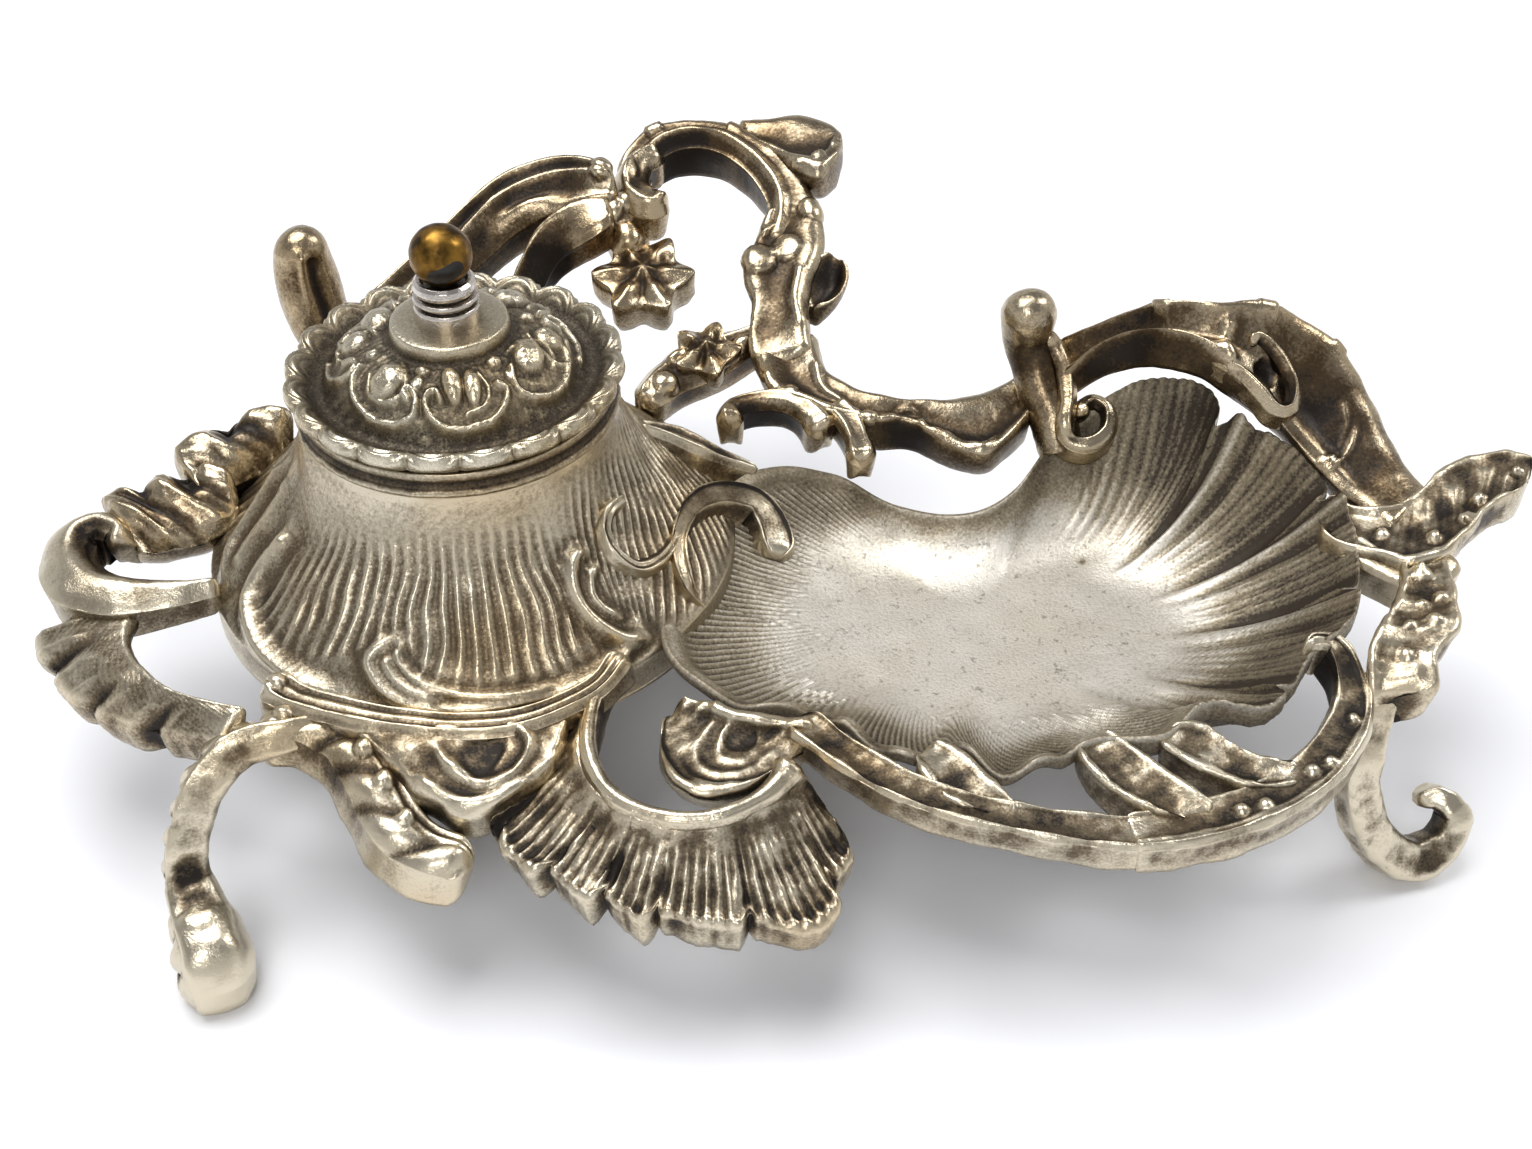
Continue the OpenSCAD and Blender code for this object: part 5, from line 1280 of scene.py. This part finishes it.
plate("crest_stem",
      [(4, 58, 64), (5.5, 52, 61.5), (5, 46.5, 59.5), (3, 41, 56.5), (2.5, 35, 53),
       (3.5, 28, 49.5)],
      [(-5, 57, 62.5), (-7.5, 51, 59.5), (-9.5, 45, 57), (-8, 39, 54), (-8.5, 33.5, 51),
       (-8, 28, 48.5)], 8,
      relief=[(0, 0.2, 0.8, 0.2, 0, 0, 0.4, 1.0, 0.8, -0.6),
              (0.25, 0.2, 0.3, -0.3, -0.3, 0.3, 0.8, 1.1, 0.6, -0.6),
              (0.5, 0.2, 0.5, 0.2, -0.2, -0.2, 0.2, 0.8, 0.6, -0.6),
              (0.8, 0, -0.3, -0.6, -0.6, -0.3, 0.3, 0.9, 0.8, -0.5),
              (1, -0.1, -0.2, -0.3, -0.4, -0.2, 0.2, 0.8, 0.7, -0.3)],
      lines=[([(-6, 51, 60), (-4, 53, 61), (-2, 53.5, 61.5)], 0.6, 0.9),
             ([(1, 44, 58), (0, 38, 55), (1, 33, 52)], 0.9, 0.7)],
      dots=[(-6.5, 46, 58, 3.4, 1.5), (-1.5, 48, 59, 3.2, 1.1), (3.5, 55.5, 63, 3.0, 0.9)])
plate("stem_cup", [(1, 39, 53), (1, 43.5, 55.5), (3, 46.5, 57.5), (6, 47.5, 58.5)],
      [(4, 37.5, 53.5), (7.5, 39, 55), (9.5, 42.5, 56.5), (9.5, 46, 58.5)], 6,
      relief=[(0, 0.2, 0.2, 0, -0.2, -0.2, -0.2, 0, 0.2, 0.1),
              (0.35, 0.2, -0.8, -2.4, -3.0, -2.8, -1.8, -0.2, 1.0, 0),
              (0.7, 0.2, -0.8, -2.4, -3.0, -2.6, -1.6, 0, 1.2, 0.2),
              (1, 0.4, 0.7, 0.8, 0.9, 0.9, 1.0, 1.1, 1.2, 0)])

# ===== Crest =====
# The arch at the top of the gallery: a smooth rounded plate with a raised line round its inner
# edge, a thin second fold and a deep wall inside that, and lumps along its back; it curls into
# a bulb on the left and ends in a pointed tip on the right.
plate("rear_crest",
      [(-6.5, 50.5, 59), (-5, 55, 62), (-5.5, 59, 64.5), (-8.5, 64, 67), (-13, 68.5, 68.5),
       (-18, 72.5, 68), (-23, 73.5, 66.5), (-26.5, 72, 64), (-27, 69, 61.5)],
      [(4, 50.5, 60), (4, 57.5, 63.5), (1.5, 64, 66.5), (-4.5, 71, 69), (-12.5, 77, 70),
       (-21, 79.1, 69.5), (-28.5, 77.8, 68), (-33, 73.5, 65), (-34, 67, 61.5)], 9,
      relief=[(0, -0.2, 0.3, 0.5, 0.2, 0, 0.2, 0.7, 0.2, -0.8),
              (0.2, -0.5, 0.3, 0.5, 0.3, 0.2, 0.9, 1.3, -0.9, -1.0),
              (0.45, -0.9, 0, 0.4, 0.4, 0.3, 1.2, 1.3, -1.2, -0.8),
              (0.7, -0.9, 0.1, 0.5, 0.4, 0.3, 1.2, 1.3, -1.2, -0.8),
              (0.9, -0.6, 0.3, 0.4, 0.2, 0.2, 0.8, 1.0, -0.8, -0.8),
              (1, -0.4, 0.2, 0.3, 0.2, 0.2, 0.3, 0.3, -0.2, -0.6)],
      lines=[([(-28, 76.5, 67.5), (-25, 77.5, 68.5)], 1.6, 0.9),
             ([(-12.5, 75.5, 70), (-9.5, 75, 70)], 1.8, 0.9),
             ([(2.5, 57.5, 63.5), (3, 54.5, 62)], 1.6, 0.9)])
plate("crest_tip",
      [(8.5, 64, 70), (4.5, 59, 68.5), (0.5, 61.5, 68.5), (-3.5, 66.5, 68.5), (-9, 72, 69)],
      [(9.5, 70, 71), (6, 75.5, 71.5), (1.5, 77.5, 71.5), (-5, 77.5, 70.5), (-11.5, 78, 70)], 8,
      relief=[(0, -0.6, -0.2, 0, 0, -0.1, -0.2, 0, 0.3, -0.4),
              (0.3, -0.5, 0, 0, -0.4, -0.8, -0.6, 0.1, 1.0, -0.3),
              (0.6, -0.2, 0.4, 0.5, 0.1, -0.4, -0.6, -0.3, 0.6, -0.3),
              (1, -0.6, 0.2, 0.5, 0.5, 0.3, 0.2, 0.2, 0.2, -0.3)],
      lines=[([(-1, 62.5, 68.5), (2, 62.5, 68.5), (5.5, 64.5, 69.5), (7.5, 68.5, 70.5)], 0.7, 0.8)],
      dots=[(4.5, 63.5, 69, 1.8, 0.7)])
gallery("crest_volute", [(-25, 74, 66, 5, 8), (-29.5, 70.5, 65, 6, 9), (-30.5, 65.5, 63, 7, 9),
                         (-27, 62, 61.5, 7, 8), (-23.5, 63.5, 61.5, 5, 7)],
        look={"crests": [(0.35, 0.9, 0.3)],
              "knobs": [(0.45, 0.2, 2.6, 0.9), (0.95, 0.1, 2.2, 1.0)]}, eyes=(0, 0.15))
gallery("blossom_stem", [(-33, 66, 63, 8, 8), (-32, 59.5, 58.5, 8, 8), (-29, 54, 54, 7, 7)],
        look={"knobs": [(0.28, -0.35, 2.2, 1.3), (0.36, 0.45, 2.4, 1.5), (0.72, 0, 2.6, 0.8)]})
gallery("rosette_stem", [(-27, 22, 44, 6, 7), (-22.5, 28, 45, 8, 7), (-15, 33, 46.5, 10, 7),
                         (-8, 35.5, 48.5, 6, 7), (-3, 36.5, 50, 7.5, 7), (1, 37, 51, 7, 7)],
        look={"crests": [(-0.5, 0.8, 0.25)],
              "knobs": [(0.16, 0.3, 2.6, 1.3), (0.32, -0.5, 2.4, 1.4), (0.66, 0.4, 2.2, 1.2),
                        (0.84, -0.4, 2.4, 1.3)]})


BLOOM_LEAN = math.radians(18)


def flower(name, at, radius, petals, tall):
    """Petals by the sine of the angle: the outline's radius grows where each petal reaches, and
    its face rises along the petal's middle and to a button in the centre. The back is a cup as
    deep as the flower is tall, and the whole leans forward."""
    turn = np.linspace(-math.pi, math.pi, 150, endpoint=False)[None]
    lobe = 1 - np.abs(np.sin(turn * petals / 2)) ** 1.5
    edge = radius * (0.72 + 0.28 * lobe)
    q = np.linspace(0.02, 1, 34)[:, None]
    face_z = (1.2 * (1 - q ** 2) + 0.8 * lobe * np.sin(math.pi * q) * step(q, 0.2, 0.5)
              - 0.8 * (1 - lobe) * q * step(q, 0.3, 0.8) + 1.6 * bump(q, 0.26) + 0.9 * q ** 3)
    # the back, as shares of the outline and of the height
    back_q = np.array([1.0, 0.99, 0.9, 0.7, 0.4, 0.05])[:, None]
    back_z = np.array([-1.2, -2.4, -3.4, -4.0, -4.4, -4.5])[:, None] * tall / 4.5
    out = np.vstack([q * edge, back_q * edge])
    x, y = out * np.cos(turn), out * np.sin(turn)
    z = np.vstack([face_z, back_z + 0 * turn])
    c, s = math.cos(BLOOM_LEAN), math.sin(BLOOM_LEAN)
    p = np.stack([at[0] + x, at[1] + c * y - s * z, at[2] + s * y + c * z], -1)
    p = p + outward(p, (False, True)) * (0.12 * lumps(p, 4))[..., None]
    lying = outward(p, (False, True))[..., 2]
    # painted shade: darker where the flower does not face up
    return skin(name, p, gallery_metal, tone=-0.5 + 0.44 * step(lying, -0.2, 0.7))


flower("blossom", (-28, 50.5, 52), 9.6, 6, 9.0)
flower("rosette", (-16, 32, 47.5), 6.3, 5, 6.0)

# ===== Rear left branches =====
# Behind the well a broad glossy plate sweeps up to the crest with three raised lines along it;
# a narrower branch joins it from below, and a rounded horn stands at its foot.
plate("rear_left_scroll",
      [(-86, 39, 45), (-81, 44.5, 49), (-74, 50, 53.5), (-67, 56.5, 57.5), (-61.5, 62, 61),
       (-56, 66.5, 64), (-50, 68.5, 66), (-44, 69, 67), (-38, 67, 67.5), (-33, 64.5, 66.5)],
      [(-82, 33, 42), (-76, 38.5, 45), (-69.5, 45, 47.5), (-63, 52, 50), (-58, 56, 53),
       (-53, 58.5, 56.5), (-48, 60, 59), (-43, 60.5, 61), (-38, 60.5, 62.5), (-33, 61, 62.5)], 8,
      relief=[(0, -0.2, 0.3, 0.5, 0.2, 0, 0, 0.3, 0.7, -0.3),
              (0.4, -0.4, 0.2, 0.8, 1.0, 0.4, -0.5, -0.2, 1.2, -0.3),
              (0.58, -1.2, -0.6, 0, 0.8, 1.2, 1.4, -0.9, 1.2, -0.3),
              (0.72, -0.6, 0.4, 1.2, -0.5, -0.6, 1.4, -0.9, 1.2, -0.3),
              (0.86, 0.2, -0.3, -0.7, -0.6, 0.3, 1.3, -0.8, 1.2, -0.3),
              (1, 0.2, 0, -0.2, 0, 0.4, 0.6, 0.2, 0.5, -0.4)],
      dots=[(-36, 65, 66, 2.2, 1.2)])
plate("rear_left_inner",
      [(-58, 35, 40), (-56.5, 41.5, 44), (-54.5, 47.5, 48), (-51.5, 53, 53), (-48, 57, 58),
       (-43, 60, 61), (-38.5, 60.5, 62.5), (-34, 60.5, 62.5)],
      [(-50, 35, 39), (-49.5, 41.5, 42), (-48.5, 47.5, 45.5), (-46.5, 53, 50.5), (-43.5, 54.5, 55),
       (-39.5, 53, 58.5), (-36, 53.5, 60.5), (-33, 56, 61.5)], 8,
      relief=[(0, -0.6, 0, 0.3, 0.4, 0.4, 0.3, 0.4, 0.6, -0.2),
              (0.4, -1.6, -0.9, -0.4, 0, 0.3, 0.7, 1.3, 1.3, -0.2),
              (0.8, -1.6, -0.9, -0.5, -0.2, 0.2, 0.7, 1.3, 1.4, -0.2),
              (1, -0.6, 0, 0.2, 0.2, 0.3, 0.4, 0.6, 0.6, -0.2)])


def horn(name, stations, knob, lines=()):
    """Round bar that swells into a bulb: its radius follows the stations of x, y, z and radius,
    up to the knob's centre, and then a half circle round it."""
    at, radius = np.array(knob[:3], float), knob[3]
    drop = np.sin(np.linspace(0.0, 1.53, 8))
    ahead = unit(at - np.array(stations[-1][:3]))
    cap = np.c_[at + ahead * (drop * radius)[:, None], np.sqrt(1 - drop ** 2) * radius]
    _, line = evenly(through(np.vstack([stations, cap]), 12), 0.34)
    centre, r = line[:, None, :3], line[:, None, 3:]
    ahead = unit(np.gradient(centre, axis=0))
    side = unit(np.cross(ahead, (0, -1, 0.15)))
    a = np.linspace(0, 2 * math.pi, 72, endpoint=False)[None, :, None]
    p = centre + r * (side * np.cos(a) + np.cross(side, ahead) * np.sin(a))
    n = outward(p, (False, True))
    p = with_lines(p, n, lines)
    p = p + n * (0.16 * lumps(p, 9) + 0.03 * lumps(p, 2.4))[..., None]
    # darker brown overall, and painted shade where the horn faces down
    return skin(name, p, gallery_metal, tone=-0.32 - 0.12 * step(-n[..., 2], 0, 0.8))


horn("rear_left_horn", [(-81, 33, 36, 3.6), (-85, 40, 42, 4.5), (-87.3, 43.8, 47, 5.6),
                        (-88.6, 45.3, 52, 5.9)], (-89, 45.6, 59.5, 5.0),
     lines=[([(-85.5, 41.5, 61), (-85.4, 40, 56), (-84, 38.6, 50), (-81.5, 35, 45)], 1.5, -1.4),
            ([(-87.6, 41, 62), (-87.6, 39.8, 56.5), (-86.2, 38, 50), (-83.5, 34.5, 44)], 0.9, 0.9)])

# ===== Rear right arch and pen rest =====
# The second arch rises over the tray: two raised lines with a hollow between, an eyelet where
# they meet, then a broad polished back that falls to the right-hand leaf. It and the knobbed
# horn beside it hold a pen across the gap.
plate("rear_right_scroll",
      [(45.5, 27.5, 53), (51, 24, 58), (58, 22, 62.5), (63.5, 18.5, 66), (69.5, 16.5, 67),
       (77, 18, 66.5), (84.5, 19, 63), (92, 17, 58), (97, 12.5, 52), (100, 5.5, 47.5),
       (102, 0, 45.5), (104, -5, 45)],
      [(45.5, 19.5, 49), (51, 20, 55), (57, 18, 59.5), (62.5, 14, 62), (67, 11, 62),
       (71.5, 8, 59.5), (77, 6, 55.5), (82, 2.5, 51), (86, -1.5, 47.5), (89.5, -5, 45),
       (93, -9, 44), (96, -14, 43.5)], 8,
      relief=[(0, 0.4, 0.6, 0.2, -0.2, -0.3, 0, 0.5, 0.8, -0.2),
              (0.15, 0.6, 0.8, -0.4, -1.0, -1.0, -0.3, 0.8, 0.9, -0.2),
              (0.32, 0.6, 0.7, -0.8, -1.7, -1.9, -1.4, -0.1, 1.2, 0),
              (0.43, 0.4, 0.5, -0.4, -1.2, -1.2, -0.5, 0.7, 1.2, 0),
              (0.54, -0.6, -0.4, -0.8, -1.2, -0.3, 0.9, 1.6, 1.5, 0),
              (0.68, -0.9, -1.0, -1.8, -1.8, -0.6, 0.7, 1.8, 1.8, 0.1),
              (0.8, -0.4, 0.2, -0.6, 0, 0.5, 1.3, 1.8, 1.2, -0.1),
              (0.9, -0.5, 0, 0.2, 0.4, 0.7, 1.0, 1.0, 0.5, -0.3),
              (1, -0.3, 0, 0.1, 0.2, 0.3, 0.3, 0.2, 0, -0.3)],
      lines=[([(71.5, 14.5, 65), (70.5, 11.5, 62.5), (71.5, 9, 60.5)], 1.1, 1.2),
             ([(92.5, 10, 52), (93, 5.5, 49.5), (91, 1, 47.5), (87, -2, 46.5)], 0.5, 0.8),
             ([(91, 9.5, 52.5), (91.5, 5, 50), (89.5, 1, 48), (86.5, -1, 47)], 0.5, 0.7),
             ([(60, 20.5, 64), (62.5, 19, 65)], 1.6, 0.8),
             ([(76, 17.6, 66), (79.5, 17.8, 65)], 1.8, 1.0),
             ([(90, 17, 59.5), (92.5, 16, 57.5)], 1.5, 0.8)],
      dots=[(78.4, 9, 58.6, 3.0, -1.8)])
gallery("arch_fold", [(68.5, 11, 60.8, 2.0, 5), (70.8, 9.3, 60.2, 2.4, 5),
                      (73.5, 8.4, 59.1, 2.8, 5), (76.5, 6.4, 57, 3.2, 5), (79.3, 4.6, 54.6, 3, 5),
                      (81.6, 5.6, 54.6, 2.8, 5), (82.2, 8.6, 57, 2.6, 5),
                      (79.8, 11.8, 60.4, 2.4, 5), (76.6, 13.2, 62.6, 2.2, 5),
                      (74.6, 12.2, 62.6, 2, 4)],
        look={"crests": [(0.2, 0.4, 0.35)]}, tone=0.04, gap=0.32)
gallery("tray_curl", [(43.6, 24.6, 56.5, 2.6, 4), (45.4, 23.6, 53.8, 3.2, 4),
                      (46.6, 21, 51, 3.2, 4), (46.8, 17, 48, 3.2, 4.5), (46.2, 13.6, 45, 3.2, 5),
                      (47.4, 12.2, 42.4, 3.3, 5), (50.8, 12, 42, 3.3, 5),
                      (53.8, 14, 43.4, 3.2, 5), (54, 17, 45.6, 3, 5), (51.6, 18.4, 46.8, 2.8, 5),
                      (49.4, 17, 46, 2.6, 5), (50, 15.2, 44.8, 2.6, 4)],
        look={"crests": [(-0.4, 0.4, 0.3)]}, eyes=(0, 0.3), tone=0.14, gap=0.32)
horn("rest_horn", [(46, 14.5, 37.5, 3.6), (45.4, 17.5, 41, 4.2), (43.6, 21.5, 45, 4.5),
                   (41.6, 25, 49.5, 4.1), (40.3, 26.5, 54, 4.3)], (40, 26, 58.6, 4.9),
     lines=[([(43, 23.6, 45), (43.2, 24, 50), (43.8, 24.2, 54.5)], 0.5, 0.7)])
